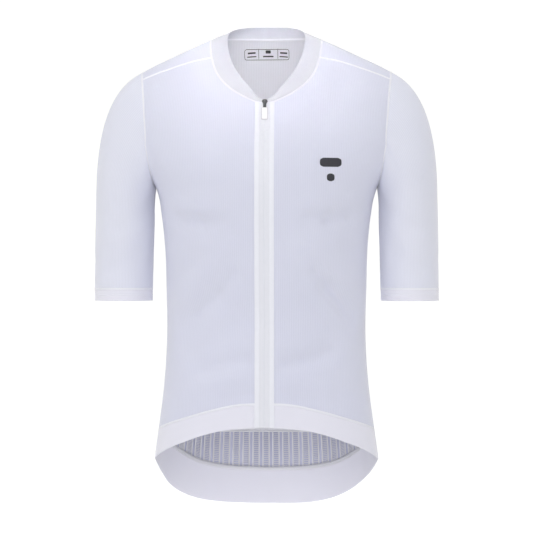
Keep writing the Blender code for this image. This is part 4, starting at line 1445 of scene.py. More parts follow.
@dataclass(frozen=True)
class Yarn(Finish):
    """Spun polyester thread, twisted along its length."""

    rough_range: tuple[float, float] = (0.08, -0.08)
    relief: float = 0.08
    dark_shade: float = 0.88
    twist: float = 0.7
    slant: float = 1.6
    sheen: float = 0.2

    def recipe(self, bench: NodeBench) -> bpy.types.Material:
        """Slanted plies over a soft sheen, with painted shade in the grooves between the plies."""
        _, across, along = bench.weave()
        ply = bench.wave(bench.math("MULTIPLY_ADD", across, self.slant, along), self.twist)
        # Painted shade: darker where the ply wave is low, in the grooves between the plies.
        tone = bench.mix(ply, rgba(self.colour, self.dark_shade), rgba(self.colour))
        return bench.finish(tone, self.rough(bench, ply), ply, self.relief, Sheen_Weight=self.sheen)


@dataclass(frozen=True)
class Film(Finish):
    """Smooth coated tape with a trace of the cloth under it and brighter bonded edges."""

    rough_range: tuple[float, float] = (-0.07, 0.07)
    relief: float = 0.05
    grain_scale: float = 1.6
    cloud_scale: float = 0.12
    cloud_shade: float = 0.965
    dark_shade: float = 0.93
    bond_start: float = 7.0
    bond_end: float = 7.8
    thread_pitch: float = 0.8

    def recipe(self, bench: NodeBench) -> bpy.types.Material:
        """A matt film whose tone clouds a little."""
        vector, across, along = bench.weave()
        grain = bench.noise(vector, self.grain_scale, 3.0)
        threads = [bench.wave(place, self.thread_pitch) for place in (across, along)]
        half = bench.math("MULTIPLY", bench.math("MULTIPLY", *threads), 0.5)
        height = bench.math("ADD", half, bench.math("MULTIPLY", grain, 0.5))
        edge = {0: bench.math("ABSOLUTE", across), 1: self.bond_start, 2: self.bond_end}
        bond = bench.node("ShaderNodeMapRange", {**edge, 3: self.dark_shade, 4: 1.0}).outputs[0]
        cloud = bench.span(bench.noise(vector, self.cloud_scale), self.cloud_shade, 1.0)
        tone = bench.mix(bench.math("MULTIPLY", cloud, bond), BLACK, rgba(self.colour))
        return bench.finish(tone, self.rough(bench, grain), height, self.relief)


@dataclass(frozen=True)
class Metal(Finish):
    """Painted die-cast metal, rubbed where it is touched."""

    rough_range: tuple[float, float] = (-0.08, 0.1)
    grain_scale: float = 1400.0
    rub_start: float = 0.52
    rub_end: float = 0.62
    rub_shade: float = 2.2
    metallic: float = 0.9

    def recipe(self, bench: NodeBench) -> bpy.types.Material:
        """Dark satin paint with bright rubbed specks."""
        grain = bench.noise(bench.place(), self.grain_scale, 3.0)
        worn = bench.node("ShaderNodeNewGeometry", {}).outputs["Pointiness"]
        edge = bench.node("ShaderNodeMapRange", {0: worn, 1: self.rub_start, 2: self.rub_end}).outputs[0]
        tone = bench.mix(edge, rgba(self.colour), rgba(self.colour, self.rub_shade))
        return bench.finish(tone, self.rough(bench, grain), grain, self.relief, Metallic=self.metallic)


@dataclass(frozen=True)
class Ink(Finish):
    """Heat-transferred ink that takes up a little of the knit's relief."""

    relief: float = 0.08
    grain_scale: float = 2.4
    dark_shade: float = 0.85
    bright_shade: float = 1.15
    rib_pitch: float = 2.6
    rib_part: float = 0.6
    grain_part: float = 0.4

    def recipe(self, bench: NodeBench) -> bpy.types.Material:
        """A flat dark film, slightly mottled."""
        vector, across, _ = bench.weave()
        grain = bench.noise(vector, self.grain_scale, 3.0)
        tone = bench.mix(grain, *(rgba(self.colour, x) for x in (self.dark_shade, self.bright_shade)))
        rib = bench.math("MULTIPLY", bench.wave(across, self.rib_pitch), self.rib_part)
        height = bench.math("ADD", rib, bench.math("MULTIPLY", grain, self.grain_part))
        return bench.finish(tone, self.rough(bench, grain), height, self.relief)


BODY_KNIT = Knit("body_knit", "white_knit", (0.73, 0.742, 0.868), 0.86)
# Painted light: the sleeves get a lighter copy of the body's white knit.
LIT_SLEEVE_KNIT = Knit("sleeve_knit_painted_light", "white_knit", (0.80, 0.813, 0.935), 0.86, rib_pitch=2.2)
# Painted light: the cloth's inner faces and inner seams get a lighter copy of the white knit, standing in
# for light through the thin cloth.
LIT_KNIT_INSIDE = Knit("knit_inside_painted_light", "white_knit", (0.905, 0.905, 0.995), 0.88)
OPEN_KNIT = Knit("ladder_knit", "ladder_mesh", (0.93, 0.93, 0.998), 0.88, rib_pitch=1.1, relief=0.12)
# Painted shade: the pocket panel's inner face gets a darker, bluer copy of the knit, standing in for the
# shade behind the openwork.
POCKET_INSIDE_SHADE = Knit("pocket_inside_painted_shade", "white_knit", (0.68, 0.69, 0.88), 0.9, rib_pitch=1.4, glow=0.0)
ELASTIC = Knit("band_elastic", "white_elastic", (0.84, 0.835, 0.93), 0.78, rib_pitch=1.2, relief=0.1)
# Painted shade: the collar gets a darker copy of the white elastic, offsetting the neck lamps' light on it.
SHADED_COLLAR_KNIT = Knit(
    "collar_elastic_painted_shade", "white_elastic", (0.675, 0.68, 0.75), 0.78, rib_pitch=1.0, relief=0.1
)
TAPE_FILM = Film("zip_tape_film", "zip_tape", (0.86, 0.87, 0.94), 0.5)
# Painted highlight: the outer seam ridges get a lighter copy of the white knit.
LIT_SEAM_RIDGE = Knit(
    "seam_ridge_painted_highlight", "white_knit", (0.905, 0.91, 0.99), 0.7, rib_pitch=0.7, relief=0.1, glow=0.0
)
THREAD = Yarn("white_thread", "white_knit", (0.93, 0.935, 0.97), 0.6)
COIL_NYLON = Yarn("coil_nylon", "zip_coil", (0.78, 0.78, 0.84), 0.38, twist=0.5)
SLIDER_PAINT = Metal("slider_paint", "slider_metal", (0.13, 0.13, 0.14), 0.36)
PULL_RUBBER = Finish("pull_rubber", "pull_rubber", (0.80, 0.79, 0.83), 0.5)
# Painted shade: the tab round the pad is a darker grey copy of the white rubber, standing in for the shade
# along its sides.
PULL_EDGE_SHADE = Finish("pull_edge_painted_shade", "pull_rubber", (0.64, 0.63, 0.68), 0.55)
PRINT_INK = Ink("print_ink", "white_knit", (0.035, 0.035, 0.045), 0.6)


def add_piece(
    name: str,
    parts: MeshParts | bpy.types.Mesh,
    finish: Finish,
    nodes: Sequence[str] = (),
    body: str = GARMENT,
    inside: Finish | None = None,
) -> bpy.types.Object:
    """Adds a piece to the scene.

    Args:
        name: The piece's name.
        parts: Its geometry.
        finish: Its finish.
        nodes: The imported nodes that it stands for.
        body: The body that it moves with.
        inside: The finish of its inner side, where that differs.

    Returns:
        The new object.
    """
    mesh = parts.mesh(name) if isinstance(parts, MeshParts) else parts
    piece = bpy.data.objects.new(name, mesh)
    for side_finish in (finish, inside or finish):
        piece.data.materials.append(side_finish.material())
    bpy.context.scene.collection.objects.link(piece)
    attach(piece, body)
    if nodes:
        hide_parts(*nodes)
    LOG.info("%s: %d faces", name, len(piece.data.polygons))
    return piece


def add_cloth(
    name: str,
    cloth: Cloth | MeshParts,
    finish: Finish,
    node: str,
    thickness: float = BODY_CLOTH,
    rim_steps: int = 3,
    inside: Finish | None = None,
) -> None:
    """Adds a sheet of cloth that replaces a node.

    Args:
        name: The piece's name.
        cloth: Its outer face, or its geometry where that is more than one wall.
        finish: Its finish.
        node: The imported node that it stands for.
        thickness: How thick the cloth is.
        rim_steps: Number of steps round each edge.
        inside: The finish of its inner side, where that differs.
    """
    parts = cloth
    if isinstance(cloth, Cloth):
        parts = MeshParts()
        add_shell(parts, cloth, thickness, rim_steps)
    piece = add_piece(name, parts, finish, [node], inside=inside)


def on_side(places: Array, side: Side) -> Array:
    """Places of the left front, or the same on the wearer's right with its columns reversed."""
    return places if side is Side.LEFT else places[:, ::-1] * MIRRORED_PLACE


@dataclass(frozen=True)
class Panels:
    """The knitted fronts and back."""

    pattern: Pattern
    front_columns: int = 60
    front_rows: int = 130
    back_columns: int = 100
    back_rows: int = 135
    front_cut: Cut = Cut(190, 500, 0.78)
    back_cut: Cut = Cut(410, 640, 0.85)

    def build(self) -> None:
        """Adds both fronts and the back."""
        places = self.pattern.front(even(self.front_columns), even(self.front_rows))
        for side in Side:
            name, node = f"knit_front_{side.value}", f"front_{side.value}"
            cloth = self.pattern.form.cloth(on_side(places, side), 0.0)
            add_cloth(name, cloth, BODY_KNIT, node, inside=LIT_KNIT_INSIDE)
        places = self.pattern.back(even(self.back_columns), even(self.back_rows))
        cloth = self.pattern.form.cloth(places, math.pi)
        add_cloth("knit_back", cloth, BODY_KNIT, "back", inside=LIT_KNIT_INSIDE)


@dataclass(frozen=True)
class HemBands:
    """The elastic bands round the hem."""

    pattern: Pattern
    columns: int = 60
    rows: int = 14
    back_columns: int = 120
    front_cut: Cut = Cut(175, 46, 0.95)
    back_cut: Cut = Cut(380, 60, 0.9)

    def build(self) -> None:
        """Adds the two front bands and the back band."""
        places = self.pattern.front_band(even(self.columns), even(self.rows))
        for side in Side:
            node, front = f"hem_front_{side.value}", f"knit_front_{side.value}"
            cloth = self.pattern.form.cloth(on_side(places, side), 0.0)
            add_cloth(f"elastic_{node}", cloth, ELASTIC, node, BAND_CLOTH)
        places = self.pattern.back_band(even(self.back_columns), even(self.rows))
        cloth = self.pattern.form.cloth(places, math.pi)
        add_cloth("elastic_hem_back", cloth, ELASTIC, "hem_back", BAND_CLOTH)


@dataclass(frozen=True)
class Pockets:
    """The three-pocket panel over the lower back."""

    pattern: Pattern
    count: int = 3
    lift: float = 0.4
    fullness: float = 2.4
    first_share: float = 0.2
    columns: int = 90
    rows: int = 45
    hem_rows: tuple[int, ...] = (-2, -4)
    side_seams: Stitching = Stitching(half_width=2.2, rise=0.4)
    stitches: Stitching = Stitching(needles=(-1.4, 1.4), stitch=2.6)
    stitch_lift: float = 0.05
    cut: Cut = Cut(300, 155, 0.8)

    def cloth(self) -> Cloth:
        """The panel's outer face."""
        us = self.first_share + (1 - 2 * self.first_share) * even(self.columns)
        cloth = self.pattern.form.cloth(self.pattern.pocket(us, even(self.rows)), math.pi)
        swell = np.sin(math.pi * self.count * even(self.columns)) ** 2
        rise = np.sin(math.pi / 2 * even(self.rows))
        return cloth.moved(self.lift + BODY_CLOTH + self.fullness * rise[:, None] * swell)

    def add_sewing(self, ridge: MeshParts, threads: MeshParts) -> None:
        """Adds the flat seams up its sides, the rows between its pockets and round its top hem."""
        cloth = self.cloth()
        for k in range(self.count + 1):
            place = min(max(round(self.columns * k / self.count), 1), self.columns - 1)
            seam = SeamLine.flat(cloth.points[:, place], cloth.normals[:, place])
            if k in (0, self.count):
                self.side_seams.add(ridge, threads, seam)
            else:
                self.stitches.add_stitches(threads, seam, self.stitch_lift)
        for row in self.hem_rows:
            seam = SeamLine.flat(cloth.points[row], cloth.normals[row])
            self.stitches.add_stitches(threads, seam, self.stitch_lift)

    def build(self) -> None:
        """Adds the panel."""
        name, node = "knit_pocket_panel", "pocket_panel"
        # Its inner face is painted shade, darker than the knit.
        add_cloth(name, self.cloth(), BODY_KNIT, node, inside=POCKET_INSIDE_SHADE)


@dataclass(frozen=True)
class Openwork:
    """The ladder-patterned openwork across the lower back."""

    pattern: Pattern
    rib_width: float = 2.5
    rib_gap: float = 3.4
    ladder_width: float = 7.1
    bar_pitch: float = 3.0
    bar_radius: float = 0.55
    bar_sunk: float = 0.4
    bar_overlap: float = 0.06
    rib_lift: float = 0.35
    rib_profile: tuple[Profile, ...] = table(Profile, ((-1, 0), (-0.6, 0.8), (0, 1), (0.6, 0.8), (1, 0)))
    rib_cloth: float = 0.8
    height: float = 58.0
    line_steps: int = 600
    rows: int = 28
    cut: Cut = Cut(370, 60, 0.75)

    def build(self) -> None:
        """Adds the openwork."""
        form = self.pattern.form
        shares = even(self.line_steps)
        middle, _ = form.outer(self.pattern.mesh(shares, np.array([0.5]))[0])
        lengths = path_lengths(middle)
        period = 2 * self.rib_width + self.rib_gap + self.ladder_width
        count = round(lengths[-1] / period)
        scale = lengths[-1] / count
        parts = MeshParts()
        rib_share = self.rib_width / period
        gap_share = self.rib_gap / period
        vs = even(self.rows)
        profile = column(self.rib_profile, "across")
        lift = column(self.rib_profile, "lift") * self.rib_lift
        for k in range(count):
            for start in (0.0, rib_share + gap_share):
                centre = k + start + rib_share / 2
                across = (centre + profile * rib_share / 2) * scale
                us = np.interp(across, lengths, shares)
                cloth = form.cloth(self.pattern.mesh(us, vs), math.pi)
                add_shell(parts, cloth.moved(lift), self.rib_cloth, 2)
        places_low = np.interp((np.arange(count) + 2 * rib_share + gap_share) * scale, lengths, shares)
        places_high = np.interp((np.arange(count) + 1.0) * scale, lengths, shares)
        bars = int(self.height / self.bar_pitch)
        vs = (np.arange(bars) + 0.5) / bars
        steps = np.linspace(-self.bar_overlap, 1 + self.bar_overlap, 6)
        for low, high in zip(places_low, places_high):
            us = np.clip(low + (high - low) * steps, 0.0, 1.0)
            points, normals = form.outer(self.pattern.mesh(us, vs))
            add_threads(parts, points - normals * self.bar_sunk, normals, self.bar_radius)
        add_cloth("openwork_back", parts, OPEN_KNIT, "back_mesh")


@dataclass(frozen=True)
class Sleeve:
    """One sleeve and its ribbed cuff."""

    pattern: Pattern
    side: Side
    biceps: Ring = Ring(-228.0, 164.6, 251.6, 57.0, 1.5)
    forearm: Ring = Ring(-300.0, 166.9, 253.0, 55.5, 0.5)
    cuff_seam: Ring = Ring(-358.5, 168.3, 253.2, 54.0, 0.0)
    cuff_hem: Ring = Ring(-376.0, 168.3, 253.2, 54.0, 0.0)
    droop_underarm: float = 90.0
    droop_shoulder: float = 25.0
    guide_start: float = 0.28
    guide_end: float = 0.48
    back_share: float = 13 / 24
    loop_steps: int = 120
    cap_rows: int = 40
    tube_rows: int = 40
    cuff_rows: int = 24
    cuff_ridges: int = 5
    cuff_ridge: float = 0.35
    folds: tuple[RoundFold, ...] = table(RoundFold, (
        (20, -236, 95, -276, 16, -2.8), (335, -238, 262, -268, 14, -3.4),
        (300, -312, 245, -330, 13, -2.4), (24, -262, 70, -298, 8, -0.8),
        (338, -262, 290, -300, 8, -0.9), (140, -300, 205, -322, 9, -0.7),
        (312, -214, 268, -240, 9, -0.8), (48, -210, 96, -240, 9, -0.8),
    ))
    cut: Cut = Cut(350, 270, 0.82)
    cuff_cut: Cut = Cut(272, 18)

    def ring(self, ring: Ring, angle: Array) -> Array:
        """Points of a level ring at angles from the underarm at 0 over the back."""
        half = (ring.x_outer - ring.x_inner) / 2
        x = ring.x_inner + half * (1 - np.cos(angle))
        y = ring.y_centre + ring.half_depth * np.sin(angle)
        return np.stack([x, y, np.full_like(x, ring.z)], -1)

    def armhole(self) -> tuple[Array, Array]:
        """Points and outward directions round the armhole, from the underarm up the back."""
        form = self.pattern.form
        back_steps = round(self.loop_steps * self.back_share)
        back = form.seam(ARMHOLE_BACK, from_back=True)(even(back_steps))
        front = form.seam(ARMHOLE_FRONT)(even(self.loop_steps - back_steps))
        places = np.concatenate([back, front[-2:0:-1]])
        if self.side is Side.LEFT:
            return form.outer(places)
        points, normals = form.outer(places * MIRRORED_PLACE)
        return points * MIRRORED, normals * MIRRORED

    def grid(self) -> tuple[Cloth, Array]:
        """Lays out the sleeve on the left side of the body.

        Returns:
            Its outer face, and each column's angle round it.
        """
        loop, _ = self.armhole()
        lengths = path_lengths(np.concatenate([loop, loop[:1]]))
        angles = 2 * math.pi * lengths[:-1] / lengths[-1]
        start = loop + np.array([SEAM_GAP, 0.0, 0.0])
        swing = (1 + np.cos(angles)) / 2
        droop = np.radians(self.droop_shoulder + (self.droop_underarm - self.droop_shoulder) * swing)
        end = self.ring(self.biceps, angles)
        chord = np.linalg.norm(end - start, axis=-1, keepdims=True)
        leaving = np.stack([np.cos(droop), np.zeros_like(droop), -np.sin(droop)], -1)
        leave = start + leaving * chord * self.guide_start
        arrive = end + np.array([0.0, 0.0, 1.0]) * chord * self.guide_end
        t = even(self.cap_rows)[:-1, None, None]
        cap = start * (1 - t) ** 3 + leave * 3 * (1 - t) ** 2 * t + arrive * 3 * (1 - t) * t**2 + end * t**3
        known = np.array((self.biceps, self.forearm, self.cuff_seam))
        levels = self.biceps.z + (self.cuff_seam.z - self.biceps.z) * even(self.tube_rows)
        sizes = np.transpose([np.interp(-levels, -known[:, 0], sizes) for sizes in known.T])
        rings = [self.ring(Ring(*size), angles) for size in sizes]
        points = np.concatenate([cap, np.array(rings)])
        normals = grid_normals(points, closed=True)
        height = np.zeros(points.shape[:2])
        for fold in self.folds:
            first = self.ring(self.biceps._replace(z=fold.z_start), np.radians([fold.angle_start]))[0]
            last = self.ring(self.biceps._replace(z=fold.z_end), np.radians([fold.angle_end]))[0]
            height += fold_height(points, first, last, fold.width, fold.depth)
        height[[0, -1]] = 0.0
        points = points + normals * height[..., None]
        return Cloth(points, grid_normals(points, closed=True), self.round_weave(points), True), angles

    def round_weave(self, points: Array) -> Array:
        """Places in the knit of a closed tube, whose ribs run down it."""
        around = path_lengths(np.concatenate([points[-1], points[-1][:1]]))
        steps = np.linalg.norm(np.diff(points, axis=0), axis=-1)
        down = np.concatenate([np.zeros((1, steps.shape[1])), -np.cumsum(steps, axis=0)])
        down = np.concatenate([down, down[:, :1]], axis=1)
        return np.stack([np.broadcast_to(around, down.shape), down], -1)

    def build(self) -> None:
        """Adds the sleeve and its cuff."""
        cloth, angles = self.grid()
        node, name = f"sleeve_{self.side.value}", f"knit_sleeve_{self.side.value}"
        cloth = self.placed(cloth)
        add_cloth(name, cloth, LIT_SLEEVE_KNIT, node, inside=LIT_KNIT_INSIDE)
        node = f"cuff_{self.side.value}"
        cuff = self.placed(self.cuff(angles))
        add_cloth(f"elastic_{node}", cuff, ELASTIC, node, BAND_CLOTH)

    def cuff(self, angles: Array) -> Cloth:
        """The cuff's outer face, with ridges round it."""
        top, hem = np.array(self.cuff_seam), np.array(self.cuff_hem)
        shares = even(self.cuff_rows)
        points = np.array([self.ring(Ring(*size), angles) for size in top + (hem - top) * shares[:, None]])
        normals = grid_normals(points, closed=True)
        waves = np.sin(math.pi * self.cuff_ridges * shares) ** 2
        return Cloth(points, normals, self.round_weave(points), True).moved(self.cuff_ridge * waves[:, None])

    def seams(self) -> list[SeamLine]:
        """The sleeve's seams.

        Returns:
            The armhole seam, the cuff seam and the seam under the arm.
        """
        cloth, _ = self.grid()
        loop, panel = self.armhole()
        into = unit(cloth.points[1] - cloth.points[0])
        loop = loop + np.array([SEAM_GAP / 2, 0.0, 0.0])
        round_arm = [np.concatenate([part, part[:1]]) for part in (loop, panel, into, cloth.normals[0])]
        cuff = [np.concatenate([part[-1], part[-1][:1]]) for part in (cloth.points, cloth.normals)]
        seams = [
            SeamLine.bent(*round_arm),
            SeamLine.flat(*cuff),
            SeamLine.flat(cloth.points[:, 0], cloth.normals[:, 0]),
        ]
        return [self.placed(seam) for seam in seams]

    def placed(self, part: Cloth | SeamLine) -> Cloth | SeamLine:
        """The cloth or seam on this sleeve's side of the body."""
        return part if self.side is Side.LEFT else part.mirrored()


def both_sides(left: Array) -> Array:
    """The points of a line on the left side up to the middle, and on to the right side."""
    return np.concatenate([left, left[-2::-1] * MIRRORED])


@dataclass(frozen=True)
class Collar:
    """The low elastic collar band, open over the zip."""

    pattern: Pattern
    rim: tuple[RimPoint, ...] = table(RimPoint, (
        (0.6, -74, -86.5), (9.5, -74, -81.8), (24, -69, -65), (38, -59, -48), (50, -44, -25),
        (55, -26, -5.5), (56.5, -6, 11), (54, 17, 21.5), (45, 37, 28.5), (26, 52.5, 32.5),
        (0, 58.5, 33.5),
    ))
    crown: float = 1.6
    columns: int = 110
    rows: int = 16
    cut: Cut = Cut(470, 30, 0.8)

    @cached_property
    def seam(self) -> Edge:
        """Places of the neck seam on the left, from the zip slit round to the centre back."""
        form = self.pattern.form
        tape = straight(
            form.place(Face.FRONT, self.pattern.zip_slit, NECK_FRONT[0].z),
            form.place(Face.FRONT, self.pattern.tape_edge, NECK_FRONT[1].z),
        )
        front = over_ridge(form.seam(NECK_FRONT[1:]), form)
        parts = (over_ridge(tape, form), front, reverse(self.pattern.neck_side), form.seam(NAPE))
        places = np.concatenate([part(even(40)) for part in parts])
        lengths = path_lengths(form.bare(places))
        keep = np.concatenate([[True], np.diff(lengths) > 1e-6])
        return lambda shares: np.stack(
            [np.interp(shares * lengths[-1], lengths[keep], places[keep, k]) for k in range(2)], -1
        )

    @cached_property
    def half(self) -> tuple[Array, Array]:
        """Points of the neck seam and of the rim on the left, at the same shares."""
        places = self.seam(even(self.columns))
        low = self.pattern.form.outer(places)[0]
        lengths = path_lengths(low)
        rim = column(self.rim, "x", "y", "z")
        rim_lengths = path_lengths(rim)
        high = SmoothCurve(rim_lengths / rim_lengths[-1], rim)(lengths / lengths[-1])
        return low, high

    def cloth(self) -> Cloth:
        """The band's outer face, from the zip round the neck and back to the zip."""
        low, high = map(both_sides, self.half)
        share = even(self.rows)[:, None, None]
        flat = low * (1 - share) + high * share
        crown = self.crown * np.sin(math.pi * share)
        points = flat + grid_normals(flat, closed=False) * crown
        lengths = path_lengths(low)
        across = np.broadcast_to(lengths - lengths[-1] / 2, points.shape[:2])
        height = np.linalg.norm(points - low, axis=-1)
        return Cloth(points, grid_normals(points, closed=False), np.stack([across, height], -1))

    def seam_line(self) -> SeamLine:
        """The seam round the neck, from the zip's left side back to its right side."""
        places = over_ridge(self.seam, self.pattern.form)(even(self.columns))
        low, high, panel = map(both_sides, (*self.half, self.pattern.form.normal(places)))
        return SeamLine.bent(low, panel, unit(high - low), self.cloth().normals[0])

    def build(self) -> None:
        """Adds the collar."""
        name, node = "elastic_collar", "collar"
        add_cloth(name, self.cloth(), SHADED_COLLAR_KNIT, node, BAND_CLOTH)


@dataclass(frozen=True)
class Zip:
    """The closed zip: two coated tapes with bonded edges over a hidden coil."""

    pattern: Pattern
    rows: int = 180
    profile: tuple[Profile, ...] = table(Profile, (
        (0, -0.3), (0.5, -0.12), (1, 0), (3.2, 0.1), (5.6, 0), (6.6, 0), (6.9, 0.22), (7.4, 0.36),
        (10.5, 0.4), (13.5, 0.38), (14, 0.3), (14.4, 0.05),
    ))
    outer_place: float = 13.4
    tape_cut: Cut = Cut(15, 466)
    coil_top_z: float = -96.0
    coil_pitch: float = 1.4
    coil_half_width: float = 2.6
    coil_reach: float = 0.5
    coil_height: float = 1.1
    coil_wire: float = 0.32
    coil_depth: float = 1.5
    line_steps: int = 400
    coil_offset: float = 0.25
    coil_slant: float = 0.35

    def build(self) -> None:
        """Adds the tapes and the coil."""
        for side in Side:
            name, front = f"tape_{side.value}", f"knit_front_{side.value}"
            cloth = self.tape(side)
            add_cloth(name, cloth, TAPE_FILM, f"zip_{name}", BAND_CLOTH, 2)
        parts = MeshParts()
        self.add_coil(parts)
        add_piece("coil", parts, COIL_NYLON, ["zip_chain"])

    def tape(self, side: Side) -> Cloth:
        """The outer face of one tape."""
        us = column(self.profile, "across") / self.outer_place
        places = on_side(self.pattern.tape(us, even(self.rows)), side)
        cloth = self.pattern.form.cloth(places, 0.0)
        lifts = column(self.profile, "lift")
        return cloth.moved(lifts if side is Side.LEFT else lifts[::-1])

    def line(self, step: float) -> tuple[Array, Array]:
        """Points up the middle of the zip and outward directions at them."""
        form = self.pattern.form
        edge = form.zip_edge(0.0, FRONT_HEM[0].z + 1.0, self.coil_top_z)
        points, normals = form.outer(edge(even(self.line_steps)))
        return resampled(step, points, normals)

    def add_coil(self, parts: MeshParts) -> None:
        """Adds both rows of turns, each hooked between two of the other row.

        Args:
            parts: What they are added to.
        """
        turns = math.pi * np.array([0.0, 0.12, 0.3, 0.5, 0.7, 0.88, 1.0]) * 2 - math.pi / 2
        points, normals = self.line(self.coil_pitch)
        up = unit(np.gradient(points, axis=0))
        across = np.array([1.0, 0.0, 0.0])
        middle = (self.coil_half_width - self.coil_reach) / 2
        half = (self.coil_half_width + self.coil_reach) / 2
        for sign in (-1.0, 1.0):
            base = points - normals * (self.coil_depth + self.coil_height / 2)
            base = base + up * self.coil_pitch * self.coil_offset * sign
            x = sign * (middle + half * np.cos(turns))
            out = self.coil_height / 2 * np.sin(turns)
            rise = self.coil_pitch * self.coil_slant * np.linspace(-1.0, 1.0, len(turns))
            paths = (
                base[:, None]
                + across * x[None, :, None]
                + normals[:, None] * out[None, :, None]
                + up[:, None] * rise[None, :, None]
            )
            add_threads(parts, paths, np.broadcast_to(up[:, None], paths.shape), self.coil_wire)


@dataclass(frozen=True)
class Sewing:
    """The flat seams between the pieces, outside and inside."""

    pattern: Pattern
    sleeves: tuple[Sleeve, ...]
    collar: Collar
    pockets: Pockets
    steps: int = 240
    outer: Stitching = Stitching()
    neck: Stitching = Stitching(half_width=2.2, rise=0.3, thread=0.16)
    inner: Stitching = Stitching(half_width=1.6, rise=0.35, zigzag_pitch=2.8)
    neck_tape: Stitching = Stitching(half_width=2.6, rise=0.6, zigzag=0.0, needles=(-2.0, 2.0))
    overlock: Stitching = Stitching(
        half_width=3.0, rise=1.0, thread=0.26, zigzag=3.0, zigzag_pitch=1.5, needles=(0.9,)
    )

    def on_form(self, edge: Edge, mirrored: bool = False) -> SeamLine:
        """The seam along an edge of the torso's pieces."""
        places = edge(even(self.steps)) * (MIRRORED_PLACE if mirrored else 1.0)
        return SeamLine.flat(*self.pattern.form.outer(places))

    def build(self) -> None:
        """Adds the seams."""
        form = self.pattern.form
        around = [self.on_form(self.pattern.mesh_top), self.on_form(self.pattern.back_band_seam)]
        upright = []
        for mirrored in (False, True):
            side = form.side_seam(FRONT_HEM[-1].z + 1.0, UNDERARM_Z)
            for edge in (side, form.seam(SHOULDER_SEAM), self.pattern.band_seam):
                upright.append(self.on_form(edge, mirrored))
        for sleeve in self.sleeves:
            upright.extend(sleeve.seams())
        neck = self.collar.seam_line()
        ridge, threads = MeshParts(), MeshParts()
        for seam in (*around, *upright):
            self.outer.add(ridge, threads, seam)
        self.pockets.add_sewing(ridge, threads)
        # The outer seam ridges carry a painted highlight.
        add_piece("outer_seams", ridge, LIT_SEAM_RIDGE)
        ridge = MeshParts()
        self.neck.add(ridge, threads, neck)
        add_piece("neck_seam", ridge, ELASTIC)
        add_piece("outer_threads", threads, THREAD)
        ridge, threads = MeshParts(), MeshParts()
        for seam in (around[0], *upright):
            self.inner.add(ridge, threads, seam.inside(BODY_CLOTH))
        self.overlock.add(ridge, threads, around[1].inside(BAND_CLOTH))
        self.neck_tape.add(ridge, threads, neck.inside(BAND_CLOTH))
        # Painted light: the inner seams take the lighter inside copy of the knit.
        add_piece("inner_seams", ridge, LIT_KNIT_INSIDE)
        add_piece("inner_threads", threads, THREAD)


def rounded(corners: Sequence[tuple[float, float]], radius: float) -> Array:
    """A closed line whose corners are rounded off.

    Args:
        corners: Its corners, in order.
        radius: How far from each corner the rounding starts.

    Returns:
        Its points.
    """
    points = np.array(corners, float)
    line = []
    for before, corner, after in zip(np.roll(points, 1, axis=0), points, np.roll(points, -1, axis=0)):
        start = corner + unit(before - corner) * radius
        end = corner + unit(after - corner) * radius
        line.append(bent_path(start, corner, end, 4))
    return np.concatenate(line)


def plate_mesh(name: str, loops: Sequence[Array], thickness: float, bevel: float) -> bpy.types.Mesh:
    """A flat plate with holes and rounded edges, centred on its own plane.

    Args:
        name: The mesh's name.
        loops: Its outline and then its holes, as closed lines across and up.
        thickness: How thick it is.
        bevel: How far its edges are rounded.

    Returns:
        The mesh.
    """
    curve = bpy.data.curves.new(name, "CURVE")
    curve.dimensions = "2D"
    curve.fill_mode = "BOTH"
    curve.extrude = (thickness / 2 - bevel) * MM
    curve.bevel_depth = bevel * MM
    curve.bevel_resolution = 3
    curve.offset = -bevel * MM
    for loop in loops:
        spline = curve.splines.new("POLY")
        spline.points.add(len(loop) - 1)
        spline.use_cyclic_u = True
        for target, (x, y) in zip(spline.points, loop * MM):
            target.co = (x, y, 0.0, 1.0)
    carrier = bpy.data.objects.new(name, curve)
    mesh = bpy.data.meshes.new_from_object(carrier)
    bpy.data.objects.remove(carrier)
    bpy.data.curves.remove(curve)
    mesh.shade_smooth()
    mesh.set_sharp_from_angle(angle=SHARP_EDGE)
    return mesh


def ring_line(x: float, y: float, radius: float, steps: int = 20) -> Array:
    """A circle's points, across and up."""
    turns = 2 * math.pi * np.arange(steps) / steps
    return np.stack([x + radius * np.cos(turns), y + radius * np.sin(turns)], -1)


class Strip(NamedTuple):
    """An upright strip with rounded corners."""

    half_width: float
    top: float
    low: float
    corner: float

    def outline(self) -> Array:
        """Its outline, across and up."""
        half, top, low, corner = self
        return rounded([(-half, top), (-half, low), (half, low), (half, top)], corner)


